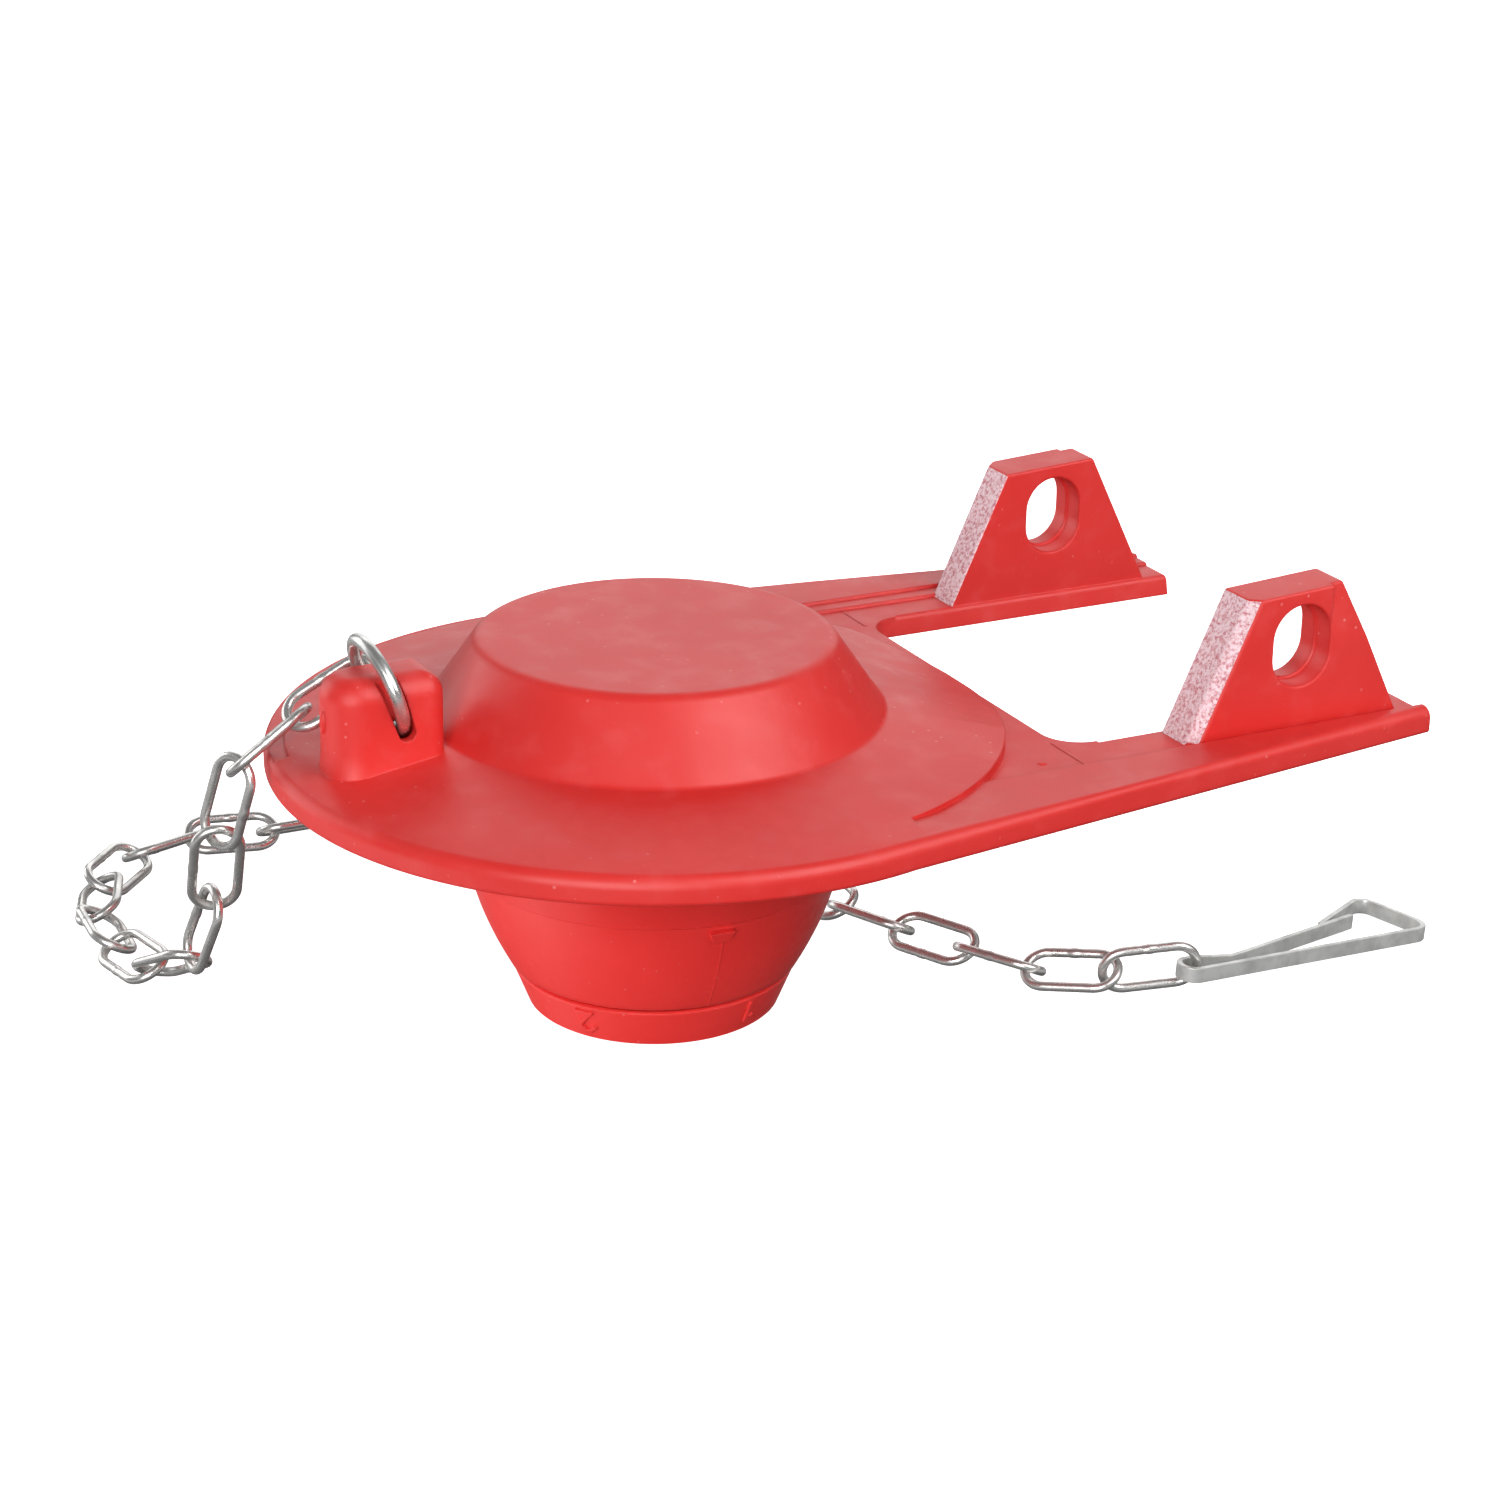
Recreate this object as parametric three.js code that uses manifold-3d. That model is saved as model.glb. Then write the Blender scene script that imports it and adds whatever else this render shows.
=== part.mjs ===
// Toilet flapper with a clipped-in float, a numbered adjuster dial, a lug ring, a chain and a hook.
// Millimetres, +Z up. The floor is z = 0 under the dial, whose axis is Z. The arms point along +Y.
import * as THREE from 'three';
import { mergeVertices } from 'three/addons/utils/BufferGeometryUtils.js';
import Module from 'manifold-3d';

const wasm = await Module();
wasm.setup();

// Driving dimensions
const FACETS = 56;                // steps round a turned piece
const GAP = 0.3;                  // running clearance between two pieces

// Disc and dome, radii and heights
const DISC_RADIUS = 43;
const DISC_BOTTOM = 29.3;
const RIM_TOP = 32.6;
const RIM_ROUND = 1.5;
const SEAT_WIDTH = 4.6;           // flat ring under the rim that meets the valve seat
const SEAT_RELIEF = 1.2;
const RELIEF_OVERCUT = 0.05;
const ANNULUS_RADIUS = 38.7;
const ANNULUS_EDGE = 33.1;
const DOME_BASE_RADIUS = 25.3;
const DOME_BASE = 34.9;
const DOME_TOP_RADIUS = 20.6;
const DOME_TOP = 43.3;
const DOME_ROUND = 1.8;
const RUBBER = 2.2;               // wall of the dome

// Float: a hollow cone that clips into the disc's lip
const NECK_RADIUS = 23.6;
const LIP_BOTTOM = 29.0;
const LIP_TOP = 31.0;
const CLIP_OVERHANG = 1.0;
const CLIP_HEIGHT = 1.8;
const CONE_WALL = 1.7;
const CREASE = 17.1;
const CREASE_RADIUS = 21.0;
const CREASE_STEP = 0.2;
const COLLAR_TOP_RADIUS = 24.4;
const CONE_BOTTOM = 5.2;
const CONE_BOTTOM_RADIUS = 16.3;
const CONE_BULGE = 0.55;
const FLOAT_FLOOR = 1.8;
const POINTER_ANGLE = -5;         // degrees round Z from +X
const POINTER = { top: 2.9, foot: 1.9, height: 1.4, proud: 0.5 };
const PORT_RADIUS = 2.4;
const PORT_OFFSET = 9;

// Adjuster dial
const DIAL_FOOT_RADIUS = 13.4;
const DIAL_FOOT_ROUND = 1.2;
const DIAL_HEIGHT = CONE_BOTTOM - GAP;
const DIAL_TOP_RADIUS = 15.9;
const DIAL_WALL = 1.7;
const STEM_RADIUS = 3.2;
const STEM_BARB = 0.9;
const NUMERALS = 5;
const NUMERAL_HEIGHT = 3.0;
const NUMERAL_PROUD = 0.35;
const NUMERAL_STROKE = 0.5;
const FIRST_NUMERAL_ANGLE = 18;   // degrees round Z from +X

// Frame and arms
const PLATE_BOTTOM = DISC_BOTTOM + 0.1;
const ARM_FLOOR = 31.8;
const ARM_STEP = 0.4;
const ARM_INNER = 23.0;
const ARM_END_Y = 82.2;
const ARM_END_OUTER = 31.5;       // half the spread of both arms' outer edges at their ends
const ARM_ROUND = 0.8;            // top outer edge behind the disc
const ARM_END_ROUND = 1.2;
const ARM_CHAMFER = 0.6;          // bottom outer edge, as round the disc
const TOE = 0.4;
const PLATE_INSET = 1.9;          // the plate's edge inside the arms' outer edges
const REAR_EDGE_Y = 38.6;
const REAR_FILLET = 4.5;
const STEP_START_Y = 10;
const FAR_BAND_RADIUS = 40.7;     // the far half of the rim has a lower outer band
const FAR_BAND_X = -7;
const FAR_BAND_STEP = 0.35;

// Ears that hang on the pegs of the overflow pipe
const EAR_INNER = 23.5;
const EAR_THICK = 5.9;
const EAR = { frontFoot: 51.2, frontTop: 58.4, rearTop: 70.7, rearFoot: 79.0 };
const EAR_FRONT_TOP = 47.7;
const EAR_REAR_TOP = 48.4;
const EAR_CHAMFER = 1.3;          // along the outer front edge
const EAR_RECESS = { y: 69.1, depth: 0.9, top: 49.5, foot: 41.5 };   // shallow step behind the hole
const HOLE_Y = 65.3;
const HOLE_Z = 41.7;
const HOLE_RADIUS = 3.7;
const HOLE_RISE = 1.0;            // half the hole's straight part: it is taller than it is wide
const HOLE_BEVEL = 0.4;
const HOLE_FLASH = 0.3;           // ridge that the two core pins leave at mid thickness

// Lug and its ring
const LUG_THICK = 8;
const LUG_INSET = 4.3;            // from the disc's edge to the lug's front
const LUG_LENGTH = 12.7;
const LUG_FRONT = LUG_INSET - DISC_RADIUS;
const LUG_REAR = LUG_FRONT + LUG_LENGTH;
const LUG_TOP = 44.5;
const LUG_ROUND = 2.0;
const LUG_CORNER = 2.8;
const LUG_HOLE_BACK = 8.1;        // from the lug's front to the middle of its hole
const LUG_HOLE_Y = LUG_FRONT + LUG_HOLE_BACK;
const LUG_HOLE_Z = 37.7;
const LUG_HOLE_RADIUS = 1.9;
const LUG_GROOVE = 1.3;           // depth of the ring's groove in each side
const LUG_GROOVE_HALF_WIDTH = 1.4;
const RING_WIRE = 1.5;
const RING_HALF_WIDTH = 5.9;
const RING_HALF_HEIGHT = 5.1;
const RING_SHIFT_X = -1.1;
const RING_LEAN = 17.6;           // degrees towards the front
const RING_SEAT = 0.8;            // the ring's lowest point below the middle of the hole
const RING_BACK = 0.2;            // and behind it

// Chain and hook
const WIRE = 1.1;
const LINK_LENGTH = 12;
const LINK_WIDTH = 6.1;
const LINK_SIDES = 7;
const LINK_ARC_STEPS = 6;
const LINKS = 27;
const LINK_PITCH = 9.2;
const FIRST_LINK_OFFSET = 3.0;
const HANGING_VIEW = [0.89, -0.45, 0];
const HANGING_ROLLS = [57, 100, 35, -15, 60];
const FLOOR_LEAN = 28;            // links on the floor lean to one side and the other by turns
const LAST_LEAN = 80;             // the last link stands up to take the hook's strip
// Points on the chain's centre line: x, y from the middle of the lug's hole, and height
const CHAIN_ROUTE = [
  [-7.0, -1.1, 41.0], [-8.2, -9.7, 35.8], [-10.2, -16.3, 28.8], [-12.4, -16.0, 19.5], [-15.8, -16.8, 11.0],
  [-19.8, -18.8, 3.8], [-28.5, -21.2, 1.85], [-37.5, -22.0, 1.75], [-46.6, -20.6, 1.75], [-55.0, -16.4, 1.75],
  [-60.6, -8.9, 1.75], [-61.6, 0.1, 1.75], [-58.6, 9.1, 1.75], [-61.2, 20.6, 1.75], [-60.4, 32.6, 1.75],
  [-54.0, 44.6, 1.75], [-43.2, 54.1, 1.75], [-31.0, 59.8, 1.75], [-20.0, 60.2, 1.75], [-10.3, 59.0, 1.75],
  [-3.0, 61.6, 1.75], [5.0, 65.6, 1.75], [13.6, 69.4, 1.75], [21.0, 75.0, 2.2], [24.4, 81.1, 3.9],
  [26.6, 87.6, 3.7],
];
const HOOK = { thick: 0.7, height: 2.1, length: 35.6, width: 10, eye: 1.6, round: 1.9 };
const HOOK_HEADING = 94;          // degrees round Z from +X
const HOOK_LIFT = 2.2;            // the eye is up on the last link, the far end down on the floor
const HOOK_REACH = 2.1;           // from the eye's bend to the last link's bow inside it

// Materials
const rubber = () => new THREE.MeshStandardMaterial({ color: 0xcf2f35, roughness: 0.55, metalness: 0 });
const plastic = () => new THREE.MeshStandardMaterial({ color: 0xd63a3c, roughness: 0.45, metalness: 0 });
const steel = () => new THREE.MeshStandardMaterial({ color: 0xb9bcbc, roughness: 0.25, metalness: 1 });

// Geometry helpers
const rad = THREE.MathUtils.degToRad;
const v2 = (x, y) => new THREE.Vector2(x, y);

// Welds a geometry's corners, drops its empty triangles and turns it the right way out.
function weld(geometry) {
  const bare = geometry.clone();
  for (const name of Object.keys(bare.attributes)) if (name !== 'position') bare.deleteAttribute(name);
  const welded = mergeVertices(bare, 1e-4);
  const at = welded.attributes.position;
  const faces = [];
  for (let i = 0; i < welded.index.count; i += 3) {
    const [a, b, c] = [0, 1, 2].map((k) => welded.index.getX(i + k));
    if (a !== b && b !== c && c !== a) faces.push([a, b, c]);
  }
  const corner = (i) => new THREE.Vector3().fromBufferAttribute(at, i);
  const volume = faces.reduce((sum, [a, b, c]) => sum + corner(a).dot(corner(b).cross(corner(c))), 0);
  welded.setIndex((volume < 0 ? faces.map(([a, b, c]) => [a, c, b]) : faces).flat());
  return welded;
}

function solid(geometry) {
  const welded = weld(geometry);
  return new wasm.Manifold(new wasm.Mesh({
    numProp: 3,
    vertProperties: new Float32Array(welded.attributes.position.array),
    triVerts: new Uint32Array(welded.index.array),
  }));
}

function fromSolid(manifold) {
  const mesh = manifold.getMesh();
  const geometry = new THREE.BufferGeometry();
  geometry.setAttribute('position', new THREE.BufferAttribute(mesh.vertProperties, 3));
  geometry.setIndex(new THREE.BufferAttribute(mesh.triVerts, 1));
  return geometry;
}

// Turns a profile of [radius, height] points round Z.
function revolve(profile, facets = FACETS) {
  return new THREE.LatheGeometry(profile.map(([r, z]) => v2(r, z)), facets).rotateX(Math.PI / 2);
}

// Points of an arc from angle a to b in degrees, both ends included.
function arc(cx, cy, radius, a, b, steps = 4) {
  return Array.from({ length: steps + 1 }, (_, i) => {
    const t = rad(a + ((b - a) * i) / steps);
    return [cx + radius * Math.cos(t), cy + radius * Math.sin(t)];
  });
}

// Extrudes a plan outline of [x, y] points from one height to another.
function prism(outline, bottom, top) {
  const shape = new THREE.Shape(outline.map(([x, y]) => v2(x, y)));
  const settings = { depth: top - bottom, bevelEnabled: false };
  return new THREE.ExtrudeGeometry(shape, settings).translate(0, 0, bottom);
}

// Extrudes a side outline of [y, z] points from x0 to x1.
function sidePrism(outline, x0, x1) {
  const turn = new THREE.Matrix4().set(0, 0, 1, 0, 1, 0, 0, 0, 0, 1, 0, 0, 0, 0, 0, 1);
  return prism(outline, x0, x1).applyMatrix4(turn);
}

// Joins rings of equal length with straight faces and closes both ends, which flatten draws flat.
function loft(rings, flatten = ([x, , z]) => v2(x, z)) {
  const count = rings[0].length;
  const position = rings.flat(2);
  const faces = [];
  for (let k = 0; k + 1 < rings.length; k += 1) {
    for (let i = 0; i < count; i += 1) {
      const [a, b] = [k * count + i, k * count + ((i + 1) % count)];
      faces.push(a, b, b + count, a, b + count, a + count);
    }
  }
  const flat = rings[0].map(flatten);
  const last = (rings.length - 1) * count;
  const clockwise = THREE.ShapeUtils.isClockWise(flat);
  for (const [a, b, c] of THREE.ShapeUtils.triangulateShape(flat, [])) {
    if (clockwise) faces.push(a, b, c, last + a, last + c, last + b);
    else faces.push(a, c, b, last + a, last + b, last + c);
  }
  const geometry = new THREE.BufferGeometry();
  geometry.setAttribute('position', new THREE.Float32BufferAttribute(position, 3));
  geometry.setIndex(faces);
  return geometry;
}

// Sweeps a round wire along a closed flat loop of [x, y] points with their outward normals.
function wireLoop(path, wire, sides) {
  const position = [];
  const faces = [];
  path.forEach(({ x, y, nx, ny }, k) => {
    for (let i = 0; i < sides; i += 1) {
      const t = (2 * Math.PI * i) / sides;
      const out = (wire / 2) * Math.cos(t);
      position.push(x + nx * out, y + ny * out, (wire / 2) * Math.sin(t));
      const next = ((k + 1) % path.length) * sides;
      const [a, b] = [k * sides + i, k * sides + ((i + 1) % sides)];
      faces.push(a, next + i, next + ((i + 1) % sides), a, next + ((i + 1) % sides), b);
    }
  });
  const geometry = new THREE.BufferGeometry();
  geometry.setAttribute('position', new THREE.Float32BufferAttribute(position, 3));
  geometry.setIndex(faces);
  return geometry;
}

// Gives a flat centre line of [x, y] points a width, as a closed outline.
function ribbon(points, width) {
  const side = (sign) => points.map(([x, y], i) => {
    const [ax, ay] = points[Math.max(i - 1, 0)];
    const [bx, by] = points[Math.min(i + 1, points.length - 1)];
    const length = Math.hypot(bx - ax, by - ay);
    return [x - (sign * (by - ay) * width) / 2 / length, y + (sign * (bx - ax) * width) / 2 / length];
  });
  return [...side(1), ...side(-1).reverse()];
}

// Flapper body
function discProfile() {
  const domeSlope = (DOME_BASE_RADIUS - DOME_TOP_RADIUS) / (DOME_TOP - DOME_ROUND - DOME_BASE);
  const innerAt = (z) => DOME_BASE_RADIUS - RUBBER * 1.15 - (z - DOME_BASE) * domeSlope;
  const neck = NECK_RADIUS + GAP;
  const pocket = NECK_RADIUS + CLIP_OVERHANG + GAP;
  const pocketTop = LIP_TOP + CLIP_HEIGHT + 2 * GAP;
  return [
    [0, DOME_TOP],
    ...arc(DOME_TOP_RADIUS - DOME_ROUND, DOME_TOP - DOME_ROUND, DOME_ROUND, 90, 22, 4),
    [DOME_BASE_RADIUS, DOME_BASE + 0.35], [DOME_BASE_RADIUS + 0.5, DOME_BASE],
    [ANNULUS_RADIUS, ANNULUS_EDGE],
    ...arc(DISC_RADIUS - RIM_ROUND, RIM_TOP - RIM_ROUND, RIM_ROUND, 80, 0, 4),
    [DISC_RADIUS, DISC_BOTTOM + 0.6], [DISC_RADIUS - 0.6, DISC_BOTTOM],
    [DISC_RADIUS - SEAT_WIDTH, DISC_BOTTOM], [DISC_RADIUS - SEAT_WIDTH - 0.8, DISC_BOTTOM + SEAT_RELIEF],
    [neck + 2.8, DISC_BOTTOM + SEAT_RELIEF + 0.7], [neck + 2.4, LIP_BOTTOM], [neck, LIP_BOTTOM],
    [neck, LIP_TOP], [pocket, LIP_TOP], [pocket, pocketTop - 0.6], [pocket - 0.6, pocketTop],
    [innerAt(pocketTop), pocketTop],
    [innerAt(DOME_TOP - RUBBER - 1.2), DOME_TOP - RUBBER - 1.2],
    [innerAt(DOME_TOP - RUBBER - 1.2) - 1.4, DOME_TOP - RUBBER],
    [0, DOME_TOP - RUBBER],
  ];
}

// Each arm's outer edge is a straight line that leaves the disc's edge at a tangent.
const ARM_ROOT_ANGLE = Math.atan2(ARM_END_Y, ARM_END_OUTER)
  - Math.acos(DISC_RADIUS / Math.hypot(ARM_END_OUTER, ARM_END_Y));
const ARM_ROOT_X = DISC_RADIUS * Math.cos(ARM_ROOT_ANGLE);
const ARM_ROOT_Y = DISC_RADIUS * Math.sin(ARM_ROOT_ANGLE);
const armOuter = (y) => THREE.MathUtils.mapLinear(y, ARM_ROOT_Y, ARM_END_Y, ARM_ROOT_X, ARM_END_OUTER);

// Cross-section of one arm at y. The far arm steps down twice to its inner edge, the near arm once.
function armSection(y, side, round, squash = 1) {
  const outer = armOuter(y);
  const steps = side < 0 ? 2 : 1;
  const top = ARM_FLOOR + 2 * ARM_STEP;
  const inner = [[ARM_INNER - 0.4, PLATE_BOTTOM], [ARM_INNER, ARM_FLOOR - 0.7]];
  const points = [...inner, [ARM_INNER + 0.6, ARM_FLOOR]];
  for (let i = 0; i < 2; i += 1) {
    const x = i ? EAR_INNER + EAR_THICK + 0.5 : EAR_INNER + EAR_THICK / 2 + 1.2;
    const low = steps === 2 ? ARM_FLOOR + ARM_STEP * i : ARM_FLOOR;
    const high = steps === 2 || i ? ARM_FLOOR + ARM_STEP * (i + 1) : ARM_FLOOR + 0.01;
    points.push([x, low], [x + 0.15, high]);
  }
  points.push(...arc(outer - round, top - round, round, 90, 0, 4));
  points.push([outer, PLATE_BOTTOM + ARM_CHAMFER], [outer - ARM_CHAMFER, PLATE_BOTTOM]);
  return points.map(([x, z]) => [side * x, y, PLATE_BOTTOM + (z - PLATE_BOTTOM) * squash]);
}

function arm(side) {
  const rings = [
    [ARM_ROOT_Y, RIM_ROUND, 1], [REAR_EDGE_Y, ARM_ROUND, 1], [ARM_END_Y - TOE, ARM_END_ROUND, 1],
    [ARM_END_Y, ARM_END_ROUND, 0.9],
  ];
  return loft(rings.map(([y, round, squash]) => armSection(y, side, round, squash)));
}

// Rear of the frame: the plate that joins both arms behind the disc, with a fillet at each arm.
function framePlate() {
  const corner = ARM_INNER - REAR_FILLET;
  const half = [
    ...arc(corner, REAR_EDGE_Y + REAR_FILLET, REAR_FILLET, -90, 0, 5),
    [ARM_INNER + 2, REAR_EDGE_Y + REAR_FILLET], [armOuter(REAR_EDGE_Y) - PLATE_INSET, REAR_EDGE_Y],
    [ARM_ROOT_X - PLATE_INSET, ARM_ROOT_Y],
  ];
  const outline = [...half, ...half.map(([x, y]) => [-x, y]).reverse()];
  return prism(outline, PLATE_BOTTOM, ARM_FLOOR);
}

// What is cut off the turned disc at the rear and on the far band.
function discTrim() {
  const reach = DISC_RADIUS + 2;
  const annulus = solid(revolve([[0, 0], [ANNULUS_RADIUS, 0], [ANNULUS_RADIUS, 60], [0, 60]]));
  const wedge = solid(sidePrism(
    [[STEP_START_Y, RIM_TOP + 1], [STEP_START_Y, RIM_TOP + 0.2], [REAR_EDGE_Y - 8, ARM_FLOOR],
      [reach, ARM_FLOOR], [reach, RIM_TOP + 1]], -reach, reach)).subtract(annulus);
  const behind = solid(prism([[-ARM_INNER, REAR_EDGE_Y], [ARM_INNER, REAR_EDGE_Y], [ARM_INNER, reach],
    [-ARM_INNER, reach]], 0, 60));
  const [low, high] = [RIM_TOP - FAR_BAND_STEP, RIM_TOP + 2];
  const band = solid(revolve([[FAR_BAND_RADIUS, low], [reach, low], [reach, high], [FAR_BAND_RADIUS, high],
    [FAR_BAND_RADIUS, low]]));
  const far = solid(prism([[-reach, -reach], [FAR_BAND_X, -reach], [FAR_BAND_X, 0], [FAR_BAND_X, reach],
    [-reach, reach]], 0, 60));
  return wedge.add(behind).add(band.intersect(far));
}

function earOutline() {
  const foot = ARM_FLOOR - 1;
  const front = (EAR.frontTop - EAR.frontFoot) / (EAR_FRONT_TOP - ARM_FLOOR);
  const rear = (EAR.rearFoot - EAR.rearTop) / (EAR_REAR_TOP - ARM_FLOOR);
  return [
    [EAR.frontFoot - front, foot], [EAR.frontTop, EAR_FRONT_TOP], [EAR.rearTop, EAR_REAR_TOP],
    [EAR.rearFoot + rear, foot],
  ];
}

// Outline of the ear's hole in the plane x, a round-ended slot that stands upright.
function holeRing(x, radius) {
  const roof = arc(HOLE_Y, HOLE_Z + HOLE_RISE, radius, 0, 180, 9);
  const floor = arc(HOLE_Y, HOLE_Z - HOLE_RISE, radius, 180, 360, 9);
  return [...roof, ...floor].map(([y, z]) => [x, y, z]);
}

// A cutter along X with bevelled mouths and a narrower waist where the core pins meet.
function earHoleCutter(middle) {
  const half = EAR_THICK / 2;
  const mouth = HOLE_RADIUS + HOLE_BEVEL;
  const steps = [
    [-half - 1, mouth], [-half, mouth], [-half + HOLE_BEVEL, HOLE_RADIUS], [-HOLE_FLASH, HOLE_RADIUS],
    [0, HOLE_RADIUS - HOLE_FLASH], [HOLE_FLASH, HOLE_RADIUS], [half - HOLE_BEVEL, HOLE_RADIUS],
    [half, mouth], [half + 1, mouth],
  ];
  return loft(steps.map(([x, radius]) => holeRing(middle + x, radius)), ([, y, z]) => v2(y, z));
}

// Cuts the outer front edge of an ear at 45 degrees, from its foot to past its top.
function earChamfer(side) {
  const outer = EAR_INNER + EAR_THICK;
  const slope = (EAR.frontTop - EAR.frontFoot) / (EAR_FRONT_TOP - ARM_FLOOR);
  const past = 1;
  const rings = [ARM_FLOOR, EAR_FRONT_TOP + past].map((z) => {
    const y = EAR.frontFoot + slope * (z - ARM_FLOOR);
    return [
      [side * (outer - EAR_CHAMFER - past), y - past, z], [side * (outer + past), y - past, z],
      [side * (outer + past), y + EAR_CHAMFER + past, z],
    ];
  });
  return loft(rings, ([x, y]) => v2(x, y));
}

// Cuts the step behind the hole, deepest at the ear's top and running out to nothing downwards.
function earRecess(side) {
  const outer = EAR_INNER + EAR_THICK;
  const { y, depth, top, foot } = EAR_RECESS;
  const rings = [[foot, 0], [top, depth]].map(([z, deep]) => [
    [side * (outer - deep), y, z], [side * (outer + 1), y, z], [side * (outer + 1), EAR.rearFoot, z],
    [side * (outer - deep), EAR.rearFoot, z],
  ]);
  return loft(rings, ([x, y0]) => v2(x, y0));
}

function ear(side) {
  const [inner, outer] = [EAR_INNER, EAR_INNER + EAR_THICK];
  const span = side > 0 ? [inner, outer] : [-outer, -inner];
  const plate = solid(sidePrism(earOutline(), ...span));
  const cutters = [earHoleCutter((side * (inner + outer)) / 2), earChamfer(side), earRecess(side)];
  return cutters.reduce((rest, cutter) => rest.subtract(solid(cutter)), plate);
}

function lug() {
  const half = LUG_THICK / 2 - LUG_ROUND;
  const [front, rear] = [LUG_FRONT + LUG_ROUND, LUG_REAR - LUG_ROUND];
  const corner = LUG_CORNER - LUG_ROUND;
  const outline = new THREE.Shape([
    ...arc(half - corner, front + corner, corner, -90, 0, 3), ...arc(half - 0.3, rear - 0.3, 0.3, 0, 90, 2),
    ...arc(-half + 0.3, rear - 0.3, 0.3, 90, 180, 2),
    ...arc(-half + corner, front + corner, corner, 180, 270, 3),
  ].map(([x, y]) => v2(x, y)));
  const base = ANNULUS_EDGE - 2;
  const block = new THREE.ExtrudeGeometry(outline, {
    depth: LUG_TOP - base - LUG_ROUND, bevelThickness: LUG_ROUND, bevelSize: LUG_ROUND, bevelSegments: 3,
  }).translate(0, 0, base);
  const foot = solid(prism([[-20, -60], [20, -60], [20, 0], [-20, 0]], 0, DISC_BOTTOM + 1.8));
  const drill = solid(revolve([[0, -9], [LUG_HOLE_RADIUS, -9], [LUG_HOLE_RADIUS, 9], [0, 9]], 20)
    .rotateY(Math.PI / 2).translate(0, LUG_HOLE_Y, LUG_HOLE_Z));
  const grooveTop = LUG_TOP + 1;
  const shift = Math.tan(rad(RING_LEAN)) * (grooveTop - LUG_HOLE_Z);
  const grooveOutline = [
    ...arc(LUG_HOLE_Y, LUG_HOLE_Z, LUG_GROOVE_HALF_WIDTH, 180, 360, 8),
    [LUG_HOLE_Y + LUG_GROOVE_HALF_WIDTH - shift, grooveTop],
    [LUG_HOLE_Y - LUG_GROOVE_HALF_WIDTH - shift, grooveTop],
  ];
  const grooves = [-1, 1].map((side) => {
    const [near, out] = [LUG_THICK / 2 - LUG_GROOVE, LUG_THICK / 2 + 1];
    return solid(sidePrism(grooveOutline, side > 0 ? near : -out, side > 0 ? out : -near));
  });
  return solid(block).subtract(foot).subtract(drill).subtract(grooves[0]).subtract(grooves[1]);
}

// The space inside the seat ring, cut from the frame a little past the disc's own underside.
function seatRelief() {
  const edge = DISC_RADIUS - SEAT_WIDTH + RELIEF_OVERCUT;
  const [mouth, roof] = [DISC_BOTTOM - 1, DISC_BOTTOM + SEAT_RELIEF + RELIEF_OVERCUT];
  return solid(revolve([[0, mouth], [edge, mouth], [edge, DISC_BOTTOM], [edge - 0.8, roof], [0, roof]]));
}

function flapperBody() {
  const arms = [1, -1].map((side) => solid(arm(side)));
  const frame = arms.reduce((rest, part) => rest.add(part), solid(framePlate())).subtract(seatRelief());
  const neck = NECK_RADIUS + GAP;
  const clipTop = LIP_TOP + CLIP_HEIGHT;
  const chamber = solid(revolve([[0, DISC_BOTTOM - 5], [neck, DISC_BOTTOM - 5], [neck, LIP_TOP],
    [neck + CLIP_OVERHANG, LIP_TOP], [neck + CLIP_OVERHANG, clipTop], [0, clipTop]]));
  const disc = solid(revolve(discProfile())).subtract(discTrim());
  return fromSolid(disc.add(frame).add(ear(1)).add(ear(-1)).add(lug()).subtract(chamber));
}

// Float
// Radius of the cone's outside between its foot and its crease, slightly convex.
function coneRadius(z) {
  const t = (z - CONE_BOTTOM) / (CREASE - CONE_BOTTOM);
  return CONE_BOTTOM_RADIUS + (CREASE_RADIUS - CONE_BOTTOM_RADIUS) * t + CONE_BULGE * 4 * t * (1 - t);
}

function floatCone() {
  const heights = [0.35, 2.5, 5, 7.5, 10].map((h) => CONE_BOTTOM + h);
  const shoulder = LIP_BOTTOM - GAP;
  const clipBottom = LIP_TOP + GAP;
  const clipTop = clipBottom + CLIP_HEIGHT;
  const inner = NECK_RADIUS - CONE_WALL;
  const hole = STEM_RADIUS + GAP;
  const floorTop = CONE_BOTTOM + FLOAT_FLOOR;
  const shell = solid(revolve([
    [hole, CONE_BOTTOM], [CONE_BOTTOM_RADIUS - 0.35, CONE_BOTTOM],
    ...heights.map((z) => [coneRadius(z), z]), [CREASE_RADIUS, CREASE],
    [CREASE_RADIUS + CREASE_STEP, CREASE + CREASE_STEP], [COLLAR_TOP_RADIUS, shoulder],
    [NECK_RADIUS, shoulder], [NECK_RADIUS, clipBottom],
    [NECK_RADIUS + CLIP_OVERHANG, clipBottom], [NECK_RADIUS + CLIP_OVERHANG, clipBottom + 0.7],
    [NECK_RADIUS + 0.3, clipTop], [inner, clipTop], [inner, shoulder],
    [CREASE_RADIUS - CONE_WALL, CREASE], [coneRadius(floorTop) - CONE_WALL, floorTop],
    [hole, floorTop], [hole, CONE_BOTTOM],
  ]));
  const port = solid(revolve([[0, 0], [PORT_RADIUS, 0], [PORT_RADIUS, 12], [0, 12]], 16)
    .translate(0, PORT_OFFSET, 0));
  const { top, foot, height, proud } = POINTER;
  const wedge = prism([[-top / 2, 0], [top / 2, 0], [foot / 2, -height], [-foot / 2, -height]], -1, proud)
    .applyMatrix4(onSlope(POINTER_ANGLE, coneRadius(CREASE - 1), CREASE - 0.5, 0.36));
  return fromSolid(shell.subtract(port).add(solid(wedge)));
}

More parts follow.
